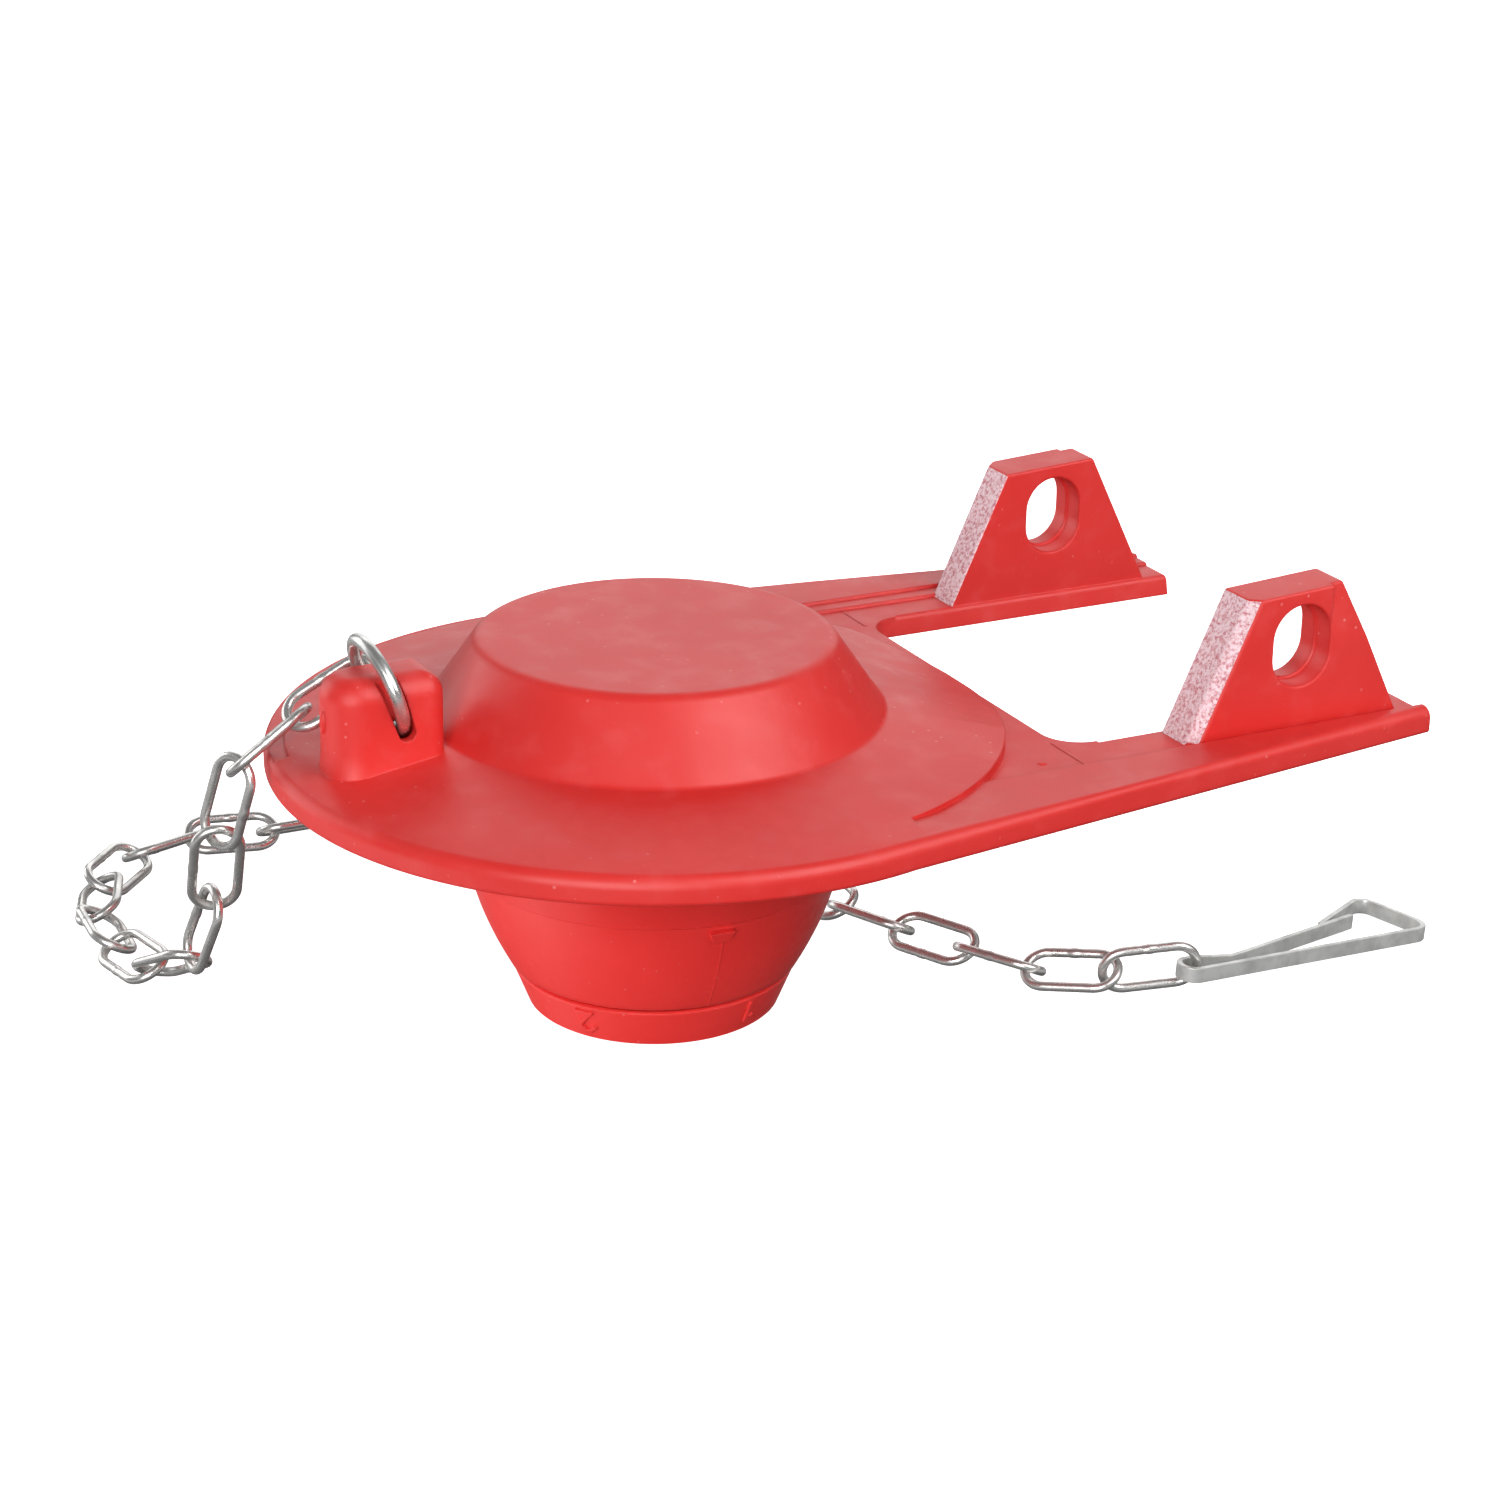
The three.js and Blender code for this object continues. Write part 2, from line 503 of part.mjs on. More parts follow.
// Places a flat drawing on a slope round Z: its x runs round, its y up the slope, its z outward.
function onSlope(degrees, radius, z, lean) {
  const angle = rad(degrees);
  const round = new THREE.Vector3(-Math.sin(angle), Math.cos(angle), 0);
  const out = new THREE.Vector3(Math.cos(angle), Math.sin(angle), 0);
  const up = out.clone().multiplyScalar(Math.sin(lean)).setZ(Math.cos(lean));
  const face = round.clone().cross(up);
  return new THREE.Matrix4().makeBasis(round, up, face).setPosition(out.x * radius, out.y * radius, z);
}

// Dial
// Strokes of the plain numerals on a 2 by 3 field, each a centre line.
const NUMERAL_STROKES = {
  1: [[[-0.5, 0.5], [0.2, 0.9]], [[0.2, 1.1], [0.2, -1.5]]],
  2: [[[-0.8, 0.9], [-0.3, 1.4], [0.4, 1.4], [0.8, 0.8], [0.5, 0.1], [-0.8, -1.4], [0.9, -1.4]]],
  3: [[[-0.8, 1.4], [0.8, 1.4], [0, 0.4], [0.7, 0], [0.8, -0.8], [0.2, -1.4], [-0.8, -1.2]]],
  4: [[[0.4, -1.5], [0.4, 1.4], [-0.9, -0.6], [0.9, -0.6]]],
  5: [[[0.8, 1.4], [-0.7, 1.4], [-0.7, 0.3], [0.3, 0.3], [0.8, -0.4], [0.4, -1.3], [-0.8, -1.4]]],
};

function numeral(digit) {
  const scale = NUMERAL_HEIGHT / 3;
  const slope = Math.atan2(DIAL_TOP_RADIUS - DIAL_FOOT_RADIUS - 1, DIAL_HEIGHT - 0.8);
  const angle = FIRST_NUMERAL_ANGLE - ((digit - 1) * 360) / NUMERALS;
  const middle = [(DIAL_TOP_RADIUS + DIAL_FOOT_RADIUS + 1) / 2 - 0.1, DIAL_HEIGHT / 2 + 0.35];
  return NUMERAL_STROKES[digit].map((stroke) => {
    const outline = ribbon(stroke.map(([x, y]) => [-x * scale, -y * scale]), NUMERAL_STROKE);
    return solid(prism(outline, -0.4, NUMERAL_PROUD).applyMatrix4(onSlope(angle, ...middle, slope)));
  });
}

function adjusterDial() {
  const barbBottom = CONE_BOTTOM + FLOAT_FLOOR + GAP;
  const floor = DIAL_WALL;
  let dial = solid(revolve([
    [0, 0], ...arc(DIAL_FOOT_RADIUS, DIAL_FOOT_ROUND, DIAL_FOOT_ROUND, -90, -42, 3),
    [DIAL_TOP_RADIUS, DIAL_HEIGHT - 0.5], [DIAL_TOP_RADIUS - 0.3, DIAL_HEIGHT],
    [DIAL_TOP_RADIUS - 0.3 - DIAL_WALL, DIAL_HEIGHT], [DIAL_FOOT_RADIUS - 0.4, floor],
    [STEM_RADIUS, floor], [STEM_RADIUS, barbBottom], [STEM_RADIUS + STEM_BARB, barbBottom + 0.1],
    [STEM_RADIUS + STEM_BARB, barbBottom + 0.7], [STEM_RADIUS - 0.5, barbBottom + 2], [0, barbBottom + 2],
  ]));
  for (let digit = 1; digit <= NUMERALS; digit += 1) {
    for (const stroke of numeral(digit)) dial = dial.add(stroke);
  }
  const port = solid(revolve([[0, -1], [PORT_RADIUS / 2, -1], [PORT_RADIUS / 2, 3], [0, 3]], 14)
    .translate(0, DIAL_FOOT_RADIUS - 2.6, 0));
  return fromSolid(dial.subtract(port));
}

// Ring, chain and hook
function lugRing() {
  const steps = 24;
  const path = Array.from({ length: steps }, (_, i) => {
    const t = (2 * Math.PI * i) / steps;
    const [nx, ny] = [Math.cos(t) / RING_HALF_WIDTH, Math.sin(t) / RING_HALF_HEIGHT];
    const length = Math.hypot(nx, ny);
    const [x, y] = [RING_HALF_WIDTH * Math.cos(t), RING_HALF_HEIGHT * Math.sin(t)];
    return { x, y, nx: nx / length, ny: ny / length };
  });
  return wireLoop(path, RING_WIRE, 8);
}

function placeRing(mesh) {
  const lean = rad(RING_LEAN);
  const up = new THREE.Vector3(0, -Math.sin(lean), Math.cos(lean));
  const across = new THREE.Vector3(1, 0, 0);
  const turn = new THREE.Matrix4().makeBasis(across, up, across.clone().cross(up));
  mesh.quaternion.setFromRotationMatrix(turn);
  mesh.position.set(RING_SHIFT_X, LUG_HOLE_Y + RING_BACK, LUG_HOLE_Z - RING_SEAT);
  mesh.position.addScaledVector(up, RING_HALF_HEIGHT);
}

function linkPath() {
  const radius = (LINK_WIDTH - WIRE) / 2;
  const straight = (LINK_LENGTH - LINK_WIDTH) / 2;
  return [0, 1].flatMap((half) => Array.from({ length: LINK_ARC_STEPS + 1 }, (_, i) => {
    const t = Math.PI * (half + i / LINK_ARC_STEPS) - Math.PI / 2;
    const [nx, ny] = [Math.cos(t), Math.sin(t)];
    return { x: (half ? -straight : straight) + radius * nx, y: radius * ny, nx, ny };
  }));
}

// Stands each link on the route, turned about its own length by its roll.
function placeLink(mesh, route, index) {
  const length = route.getLength();
  const at = (s) => route.getPointAt(THREE.MathUtils.clamp(s / length, 0, 1));
  const middle = FIRST_LINK_OFFSET + index * LINK_PITCH;
  const [from, to] = [at(middle - LINK_PITCH / 2), at(middle + LINK_PITCH / 2)];
  const along = to.clone().sub(from).normalize();
  const hangs = index < HANGING_ROLLS.length;
  const up = hangs ? new THREE.Vector3(...HANGING_VIEW) : new THREE.Vector3(0, 0, 1);
  const side = up.clone().cross(along).normalize();
  const lift = along.clone().cross(side);
  const lean = index === LINKS - 1 ? LAST_LEAN : FLOOR_LEAN;
  const roll = rad(hangs ? HANGING_ROLLS[index] : lean * (index % 2 ? 1 : -1));
  const width = side.clone().multiplyScalar(Math.cos(roll)).addScaledVector(lift, Math.sin(roll));
  const turn = new THREE.Matrix4().makeBasis(along, width, along.clone().cross(width));
  mesh.quaternion.setFromRotationMatrix(turn);
  mesh.position.copy(from.add(to).multiplyScalar(0.5));
}

// Centre line of the hook's strip, eye at the origin and the long leg along +X.
function hookLine() {
  const { length, width, eye, round } = HOOK;
  return [
    [length - 6.6, width - 3.6], [length * 0.24, eye * 1.25], [length * 0.2, eye * 1.15],
    [eye * 2, eye * 2 - 0.1], ...arc(eye, eye, eye, 95, 270, 6), [eye + 2, 0],
    ...arc(length - round, round, round, -90, 10, 5), [length - 0.9, round + 1.4],
    ...arc(length - 2.9, width - round + 0.4, round * 0.8, 20, 150, 4), [length - 12, width - 4.3],
  ];
}

function snapHook() {
  return prism(ribbon(hookLine(), HOOK.thick), 0, HOOK.height);
}

// Assembly
function piece(name, geometry, material) {
  const mesh = new THREE.Mesh(weld(geometry), material);
  mesh.name = name;
  mesh.geometry.computeVertexNormals();
  return mesh;
}

const flapper = new THREE.Group();
flapper.add(piece('flapper_body', flapperBody(), rubber()));
flapper.add(piece('float_cone', floatCone(), plastic()));
flapper.add(piece('adjuster_dial', adjusterDial(), plastic()));

const ring = piece('lug_ring', lugRing(), steel());
placeRing(ring);
flapper.add(ring);

const routePoints = CHAIN_ROUTE.map(([x, y, z]) => new THREE.Vector3(x, LUG_HOLE_Y + y, z));
const route = new THREE.CatmullRomCurve3(routePoints, false, 'centripetal');
for (let i = 0; i < LINKS; i += 1) {
  const number = String(i + 1).padStart(2, '0');
  const link = piece(`chain_link_${number}`, wireLoop(linkPath(), WIRE, LINK_SIDES), steel());
  placeLink(link, route, i);
  flapper.add(link);
}

const hook = piece('snap_hook', snapHook(), steel());
const heading = new THREE.Euler(0, Math.asin(HOOK_LIFT / HOOK.length), rad(HOOK_HEADING), 'ZYX');
const lastLink = flapper.children.at(-1);
const bow = new THREE.Vector3((LINK_LENGTH - WIRE) / 2, 0, 0).applyQuaternion(lastLink.quaternion)
  .add(lastLink.position);
const bowInEye = new THREE.Vector3(HOOK_REACH, HOOK.eye, 0).applyEuler(heading);
hook.position.copy(bow).sub(bowInEye).setZ(HOOK_LIFT);
hook.rotation.copy(heading);
flapper.add(hook);

export default flapper;
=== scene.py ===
"""Looks of the toilet flapper: the moulded body, the float, the dial, the chain and its hook."""

import math

import bmesh
import bpy
import numpy as np
from mathutils import Matrix, Vector


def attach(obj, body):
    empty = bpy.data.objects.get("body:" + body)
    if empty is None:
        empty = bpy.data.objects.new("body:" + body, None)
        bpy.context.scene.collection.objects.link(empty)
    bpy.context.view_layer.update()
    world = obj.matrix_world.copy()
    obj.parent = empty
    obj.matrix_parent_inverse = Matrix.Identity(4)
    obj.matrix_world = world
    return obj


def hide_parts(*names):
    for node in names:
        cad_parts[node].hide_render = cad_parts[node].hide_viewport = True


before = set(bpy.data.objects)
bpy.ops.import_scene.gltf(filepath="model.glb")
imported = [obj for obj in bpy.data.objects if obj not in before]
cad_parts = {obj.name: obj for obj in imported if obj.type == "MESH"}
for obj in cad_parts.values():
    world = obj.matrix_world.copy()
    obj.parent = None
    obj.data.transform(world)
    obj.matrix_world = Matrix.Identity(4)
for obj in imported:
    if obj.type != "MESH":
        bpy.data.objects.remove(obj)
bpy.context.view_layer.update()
scene = bpy.context.scene

MM = 0.001                        # every size below is in millimetres, unless it says metres
MERGE = 1e-7                      # metres; points nearer than this become one
FACETS = 240                      # steps round a turned piece
GAP = 0.3                         # clearance between the body, the float and the dial
PAST = 1                          # how far a cutter reaches past what it cuts
CUT_TOP = 60                      # cutters that start on the floor end here, above every piece

# Disc and dome
DISC_RADIUS = 43
DISC_BOTTOM = 29.3
RIM_TOP = 32.6
RIM_ROUND = 1.5
SEAT_WIDTH = 4.6
SEAT_RELIEF = 1.2
SEAT_SLOPE = 0.8
SEAT_EDGE = 0.6
CHAMBER_DEPTH = 5                 # how far below the disc the room for the float is cleared
RELIEF_OVERCUT = 0.05
ANNULUS_RADIUS = 38.7
ANNULUS_EDGE = 33.1
DOME_BASE_RADIUS = 25.3
DOME_BASE = 34.9
DOME_FOOT = [(-0.25, 0.75), (-0.02, 0.4), (0.22, 0.14), (0.6, -0.02)]    # its hollow round, as (out, up)
DOME_TOP_RADIUS = 20.6
DOME_TOP = 43.3
DOME_ROUND = 1.8
RUBBER = 2.2
DOME_SIDE_WALL = RUBBER * 1.15
ROOF_CHAMFER = {"down": 1.2, "in": 1.4}
LIP_WALL = 2.4
LIP_FOOT = {"wall": 2.8, "rise": 0.7}    # where the underside's slope meets the lip
POCKET_CHAMFER = 0.6

# Float
NECK_RADIUS = 23.6
LIP_BOTTOM = 29.0
LIP_TOP = 31.0
CLIP_OVERHANG = 1.0
CLIP_HEIGHT = 1.8
CONE_WALL = 1.7
CREASE = 17.1
CREASE_RADIUS = 21.0
CREASE_STEP = 0.2
COLLAR_TOP_RADIUS = 24.4
CONE_BOTTOM = 5.2
CONE_BOTTOM_RADIUS = 16.3
CONE_BULGE = 0.55
CONE_FOOT_ROUND = 0.35
FLOAT_FLOOR = 1.8
POINTER_ANGLE = -5
POINTER = {"top": 2.9, "foot": 1.9, "height": 1.4, "proud": 0.8}
POINTER_LEAN = 0.36               # radians
POINTER_DROP = 0.5                # its top lies so far below the crease
POINTER_ROUND = 0.12
SEAM = {"width": 0.16, "proud": 0.07, "shoulder": 0.03, "root": 0.4, "angle": -4}    # the parting line
PORT_RADIUS = 2.4
PORT_OFFSET = 9

# Adjuster dial
DIAL_FOOT_RADIUS = 13.4
DIAL_FOOT_ROUND = 1.2
DIAL_FOOT_ANGLE = -42             # degrees, where the foot's round meets the dial's sloping side
DIAL_HEIGHT = CONE_BOTTOM - GAP
DIAL_TOP_RADIUS = 15.9
DIAL_TOP_EDGE = 0.5
DIAL_TOP_CHAMFER = 0.3
DIAL_WALL = 1.7
STEM_RADIUS = 3.2
STEM_BARB = 0.9
STEM_BARB_TOP = 0.7
STEM_TIP = {"height": 2, "taper": 0.5}
DIAL_PORT_INSET = 2.6
NUMERALS = 5
NUMERAL_HEIGHT = 3.0
NUMERAL_PROUD = 0.32
NUMERAL_STROKE = 0.5
NUMERAL_ROOT = 0.4
NUMERAL_ROUND = 0.1
NUMERAL_RISE = 0.3                # above the middle of the dial's height
NUMERAL_SINK = 0.03
FIRST_NUMERAL_ANGLE = 18

# Frame and arms
PLATE_BOTTOM = DISC_BOTTOM + 0.1
ARM_FLOOR = 31.8
ARM_STEP = 0.4
ARM_STEP_RUN = 0.25
ARM_INNER = 23.0
ARM_INNER_ROUND = 0.6
ARM_END_Y = 82.2
ARM_END_OUTER = 31.5
ARM_ROUND = 0.8
ARM_END_ROUND = 1.2
ARM_CHAMFER = 0.6
TOE = 0.4
TOE_DROP = 0.1
MARK_ROOT = 0.5                   # how far the small raised marks reach down into the plate
PLATE_INSET = 1.9
PLATE_OVERLAP = 2
REAR_EDGE_Y = 38.6
REAR_FILLET = 4.5
STEP_START_Y = 12
STEP_START_RISE = 0.2
STEP_END = 8                      # the step's slope ends so far before the plate's rear edge
FAR_BAND_RADIUS = 40.7
FAR_BAND_X = -7
FAR_BAND_STEP = 0.35
REAR_FALL_Y = 29.5                # from here the annulus falls to the plate's rear edge
MOULD_LINE = {"y": 38.0, "width": 0.3, "proud": 0.06, "inset": 1.5}
PIP = {"x": 26.4, "y": 34.0, "radius": 0.6, "proud": 0.16}

# Ears
EAR_INNER = 23.5
EAR_THICK = 5.9
EAR_ROOT = 1                      # how far the ear's foot reaches down into the arm
EAR_FRONT = {"slack": 0.1, "above": 0.5, "ahead": 1, "normal_y": -0.6, "normal_z": (0.2, 0.8)}
ARM_STEP_X = (EAR_INNER + EAR_THICK / 2 + 1.2, EAR_INNER + EAR_THICK + 0.5)
EAR = {"front_foot": 51.2, "front_top": 58.4, "rear_top": 70.7, "rear_foot": 79.0}
EAR_FRONT_TOP = 47.7
EAR_REAR_TOP = 48.4
EAR_CHAMFER = 1.3
EAR_RECESS = {"y": 69.1, "depth": 0.9, "top": 49.5, "foot": 41.5}
EAR_ROUND = 0.3
HOLE_Y = 65.3
HOLE_Z = 41.7
HOLE_RADIUS = 3.7
HOLE_RISE = 1.0
HOLE_BEVEL = 0.4
HOLE_BEVEL_DROP = 0.28
HOLE_FLASH = 0.3

# Lug and ring
LUG_THICK = 8
LUG_INSET = 4.3
LUG_LENGTH = 12.7
LUG_FRONT = LUG_INSET - DISC_RADIUS
LUG_REAR = LUG_FRONT + LUG_LENGTH
LUG_TOP = 43.9
LUG_ROUND = 2.6
LUG_CORNER = 3.8
LUG_REAR_CORNER = 2.0
LUG_FLARE = 0.9                   # how far the foot's front runs out sideways
LUG_FLARE_TOP = 36.2
LUG_FLARE_SHARE = {"front": 0.3, "rear": 0.15}    # how much of the flare the front and the rear take
LUG_LEAST_CORNER = {"front": 0.4, "rear": 0.3}
LUG_ROOT = 1.2                    # how far the lug's foot reaches down into the disc
LUG_HOLE_BACK = 8.1
LUG_HOLE_Y = LUG_FRONT + LUG_HOLE_BACK
LUG_HOLE_Z = 37.7
LUG_HOLE_RADIUS = 1.0             # of the slot that the ring passes through
LUG_HOLE_RISE = 1.5               # and how far that slot reaches up along the ring
LUG_GROOVE_START = {1: 0.95, -1: 0.1}    # the grooves' feet follow the ring up, on the +X and the -X side
LUG_GROOVE = 1.3
LUG_GROOVE_HALF_WIDTH = 1.25
LUG_GROOVE_PAST = 2               # how far the grooves' cutters reach past the lug
LUG_DRILL_OVERLAP = 0.1
LUG_NUB = {"x": 0.4, "z": 39.0, "radius": 0.45, "half_height": 1.3}
RING_WIRE = 1.5
RING_HALF_WIDTH = 5.9
RING_HALF_HEIGHT = 5.1
RING_SHIFT_X = -1.1
RING_LEAN = 17.6
RING_SEAT = 0.8
RING_BACK = 0.2

# Chain and hook
WIRE = 1.1
LINK_LENGTH = 12
LINK_WIDTH = 6.1
LINK_STEPS = 20                   # steps round each bow of a link
SIDE_STEPS = 24                   # points along each straight side, between its ends
RING_STEPS = 96
WIRE_SIDES = 20
WELD = {"length": 0.5, "swell": 0.09, "groove": 0.05, "groove_at": 1.5, "groove_width": 0.4}
TURN_EVERY = 3                    # one link in so many has its weld on the other side
HOOK = {"thick": 0.7, "height": 1.8, "length": 35.6, "width": 10, "eye": 1.6, "round": 1.9}
HOOK_HEADING = 94
HOOK_LIFT = 2.2                   # how high its eye stands, while the far bend lies on the floor
HOOK_REACH = 2.1
HOOK_ROUND = 0.12

# Camera, worked out from the photograph's picture of the disc, the ears and the cone
CAMERA_BACK_AZIMUTH = 63.04
CAMERA_ELEVATION = 21.22
CAMERA_ROLL = 0.89
CAMERA_DISTANCE = 386.25
CAMERA_SIDE = 10.57               # how far the camera stands to the right of the disc's axis
CAMERA_RISE = 0.32
CAMERA_AIM_HEIGHT = 29.36
CAMERA_LENS = 83.53
CAMERA_SENSOR = 36
CAMERA_CLIP = 0.01                # metres

# Lights, as azimuth and elevation in degrees, distance and size in metres, and power in watts
LIGHTS = {
    "key": (50, 16, 0.9, 0.6, 5.5),
    "right_fill": (118, 40, 0.9, 0.7, 6.0),
    "left_rim": (-56, 12, 1.0, 0.7, 2.6),
    "back_rim": (-117, 24, 1.0, 0.9, 2.8),
    "floor_bounce": (-20, -34, 0.9, 0.7, 6.2),
}
UNMIRRORED = "floor_bounce"       # this light shows in no reflection
LIGHT_AIM = (0, 0.02, 0.02)       # metres
WORLD_STRENGTH = 0.22
WORLD_LEVELS = {0.0: 0.3, 0.22: 0.35, 0.27: 1.8, 0.45: 1.5, 0.5: 0.7, 0.58: 0.35, 0.66: 0.4, 0.71: 1.7,
                0.875: 1.2, 0.95: 0.6}    # brightness by direction, from straight down at 0 to up at 1
FLOOR_HALF = 4000                 # the white floor reaches this far, and its white walls this high
FLOOR_WHITE = (0.93, 0.96)

# Tones, as linear red, green and blue
RUBBER_TONES = ((0.62, 0.020, 0.017), (0.67, 0.030, 0.026))
RUBBER_CHALK = (0.74, 0.11, 0.11)
RUBBER_DUST = (0.85, 0.45, 0.44)
# the ear fronts' speckle tones, pale pink and pink-white: a painted highlight on the red rubber, not the
# rubber's own colour
SPECKLE_PAINTED_HIGHLIGHT_TONES = ((0.60, 0.19, 0.23), (0.93, 0.74, 0.79))
PLASTIC_TONES = ((0.76, 0.027, 0.024), (0.82, 0.038, 0.034))
PLASTIC_DUST = (0.9, 0.45, 0.42)
STEELS = {
    "bright_wire": {"tone": (0.78, 0.77, 0.75), "roughness": 0.2, "metallic": 0.84},
    "ring_wire": {"tone": (0.74, 0.74, 0.72), "roughness": 0.22, "metallic": 0.88},
    "hook_strip": {"tone": (0.66, 0.67, 0.65), "roughness": 0.3, "metallic": 0.62},
}
STEEL_DULL = 0.72                 # the dull patches' share of the bright tone
STEEL_ROUGHER = 0.16


# Geometry helpers

def arc(cx, cy, radius, start, end, steps=10):
    """Points of an arc between two angles in degrees, both ends included."""
    angles = np.radians(np.linspace(start, end, steps + 1))
    return [(cx + radius * math.cos(t), cy + radius * math.sin(t)) for t in angles]


def make(name, points, faces):
    """A mesh object from points in millimetres, with its faces turned outwards."""
    mesh = bpy.data.meshes.new(name)
    mesh.from_pydata([Vector(p) * MM for p in points], [], faces)
    work = bmesh.new()
    work.from_mesh(mesh)
    bmesh.ops.remove_doubles(work, verts=work.verts, dist=MERGE)
    bmesh.ops.recalc_face_normals(work, faces=work.faces)
    work.to_mesh(mesh)
    work.free()
    piece = bpy.data.objects.new(name, mesh)
    scene.collection.objects.link(piece)
    return piece


def loft(name, rings, ends=True, closed=False):
    """Joins rings of equal length; ends closes the first and last, closed joins them."""
    count = len(rings[0])
    points = [p for ring in rings for p in ring]
    faces = []
    for k in range(len(rings) if closed else len(rings) - 1):
        low, high = k * count, ((k + 1) % len(rings)) * count
        for i in range(count):
            j = (i + 1) % count
            faces.append((low + i, low + j, high + j, high + i))
    if ends and not closed:
        faces.append(tuple(range(count - 1, -1, -1)))
        faces.append(tuple(range(len(points) - count, len(points))))
    return make(name, points, faces)


def revolve(name, profile, facets=FACETS):
    """Turns a closed run of (radius, height) points round Z; it starts and ends on the axis or on itself."""
    on_itself = profile[0] == profile[-1]
    rows = profile[:-1] if on_itself else profile
    angles = [2 * math.pi * i / facets for i in range(facets)]
    rings = [[(r * math.cos(t), r * math.sin(t), z) for t in angles] for r, z in rows]
    return loft(name, rings, ends=False, closed=on_itself)


def prism(name, outline, bottom, top):
    """An outline in X and Y, carried from bottom to top."""
    return loft(name, [[(x, y, z) for x, y in outline] for z in (bottom, top)])


def side_prism(name, outline, x0, x1):
    """An outline in Y and Z, carried along X."""
    return loft(name, [[(x, y, z) for y, z in outline] for x in (x0, x1)])


def settle(piece):
    """Applies a piece's modifiers to its mesh."""
    depsgraph = bpy.context.evaluated_depsgraph_get()
    mesh = bpy.data.meshes.new_from_object(piece.evaluated_get(depsgraph))
    piece.modifiers.clear()
    piece.data = mesh
    return piece


def boolean(piece, operation, *tools):
    """Cuts or joins the tools one after the other, and removes them."""
    for tool in tools:
        step = piece.modifiers.new("step", "BOOLEAN")
        step.object = tool
        step.operation = operation
        step.solver = "MANIFOLD"
        settle(piece)
        bpy.data.objects.remove(tool)
    return piece


def bevel(piece, width, segments=3, angle=30):
    step = piece.modifiers.new("bevel", "BEVEL")
    step.width = width * MM
    step.segments = segments
    step.angle_limit = math.radians(angle)
    return settle(piece)


def smooth(piece, angle=32):
    """Smooth faces with crisp edges, the large faces leading the shading."""
    piece.data.shade_smooth()
    piece.data.set_sharp_from_angle(angle=math.radians(angle))
    weight = piece.modifiers.new("weight", "WEIGHTED_NORMAL")
    weight.keep_sharp = True
    return piece


def dress(piece, body, slot, *materials, stands_for=None):
    """Gives a piece its materials and its body, and hides the CAD node that it stands for; slot is not used.
    """
    piece.data.materials.clear()
    for material in materials:
        piece.data.materials.append(material)
    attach(piece, body)
    if stands_for:
        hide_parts(stands_for)
    return piece


# Materials

class Nodes:
    """A small front to one material's node tree."""

    def __init__(self, name):
        self.material = bpy.data.materials.new(name)
        self.material.use_nodes = True
        self.tree = self.material.node_tree
        self.shader = self.tree.nodes["Principled BSDF"]
        self.place = self.add("ShaderNodeTexCoord").outputs["Object"]

    def add(self, kind, **inputs):
        node = self.tree.nodes.new(kind)
        for key, value in inputs.items():
            socket = node.inputs[key.replace("_", " ").title() if key.islower() else key]
            self.feed(socket, value)
        return node

    def feed(self, socket, value):
        if isinstance(value, bpy.types.NodeSocket):
            self.tree.links.new(value, socket)
        else:
            socket.default_value = value

    def noise(self, scale, detail=4.0, roughness=0.55):
        node = self.add("ShaderNodeTexNoise", vector=self.place, scale=scale, detail=detail,
                        roughness=roughness)
        return node.outputs["Fac"]

    def step(self, value, low, high, start=0.0, end=1.0):
        """Maps value from low..high to start..end, and holds it there outside."""
        node = self.tree.nodes.new("ShaderNodeMapRange")
        sockets = ("Value", "From Min", "From Max", "To Min", "To Max")
        for socket, given in zip(sockets, (value, low, high, start, end)):
            self.feed(node.inputs[socket], given)
        return node.outputs["Result"]

    def mix(self, factor, a, b):
        node = self.tree.nodes.new("ShaderNodeMix")
        node.data_type = "RGBA"
        self.feed(node.inputs["Factor"], factor)
        self.feed(node.inputs["A"], (*a, 1) if isinstance(a, tuple) else a)
        self.feed(node.inputs["B"], (*b, 1) if isinstance(b, tuple) else b)
        return node.outputs["Result"]

    def math(self, operation, a, b=0.0):
        node = self.tree.nodes.new("ShaderNodeMath")
        node.operation = operation
        self.feed(node.inputs[0], a)
        self.feed(node.inputs[1], b)
        return node.outputs[0]

    def bump(self, height, strength, distance, normal=None):
        node = self.tree.nodes.new("ShaderNodeBump")
        node.inputs["Strength"].default_value = strength
        node.inputs["Distance"].default_value = distance * MM
        self.feed(node.inputs["Height"], height)
        if normal is not None:
            self.feed(node.inputs["Normal"], normal)
        return node.outputs["Normal"]

    def edges(self, radius):
        node = self.tree.nodes.new("ShaderNodeBevel")
        node.samples = 6
        node.inputs["Radius"].default_value = radius * MM
        return node.outputs["Normal"]

    def specks(self, scale, size):
        """One where a fine cell's middle is near, for dust and pits."""
        node = self.add("ShaderNodeTexVoronoi", vector=self.place, scale=scale)
        return self.step(node.outputs["Distance"], size * 0.6, size, 1.0, 0.0)


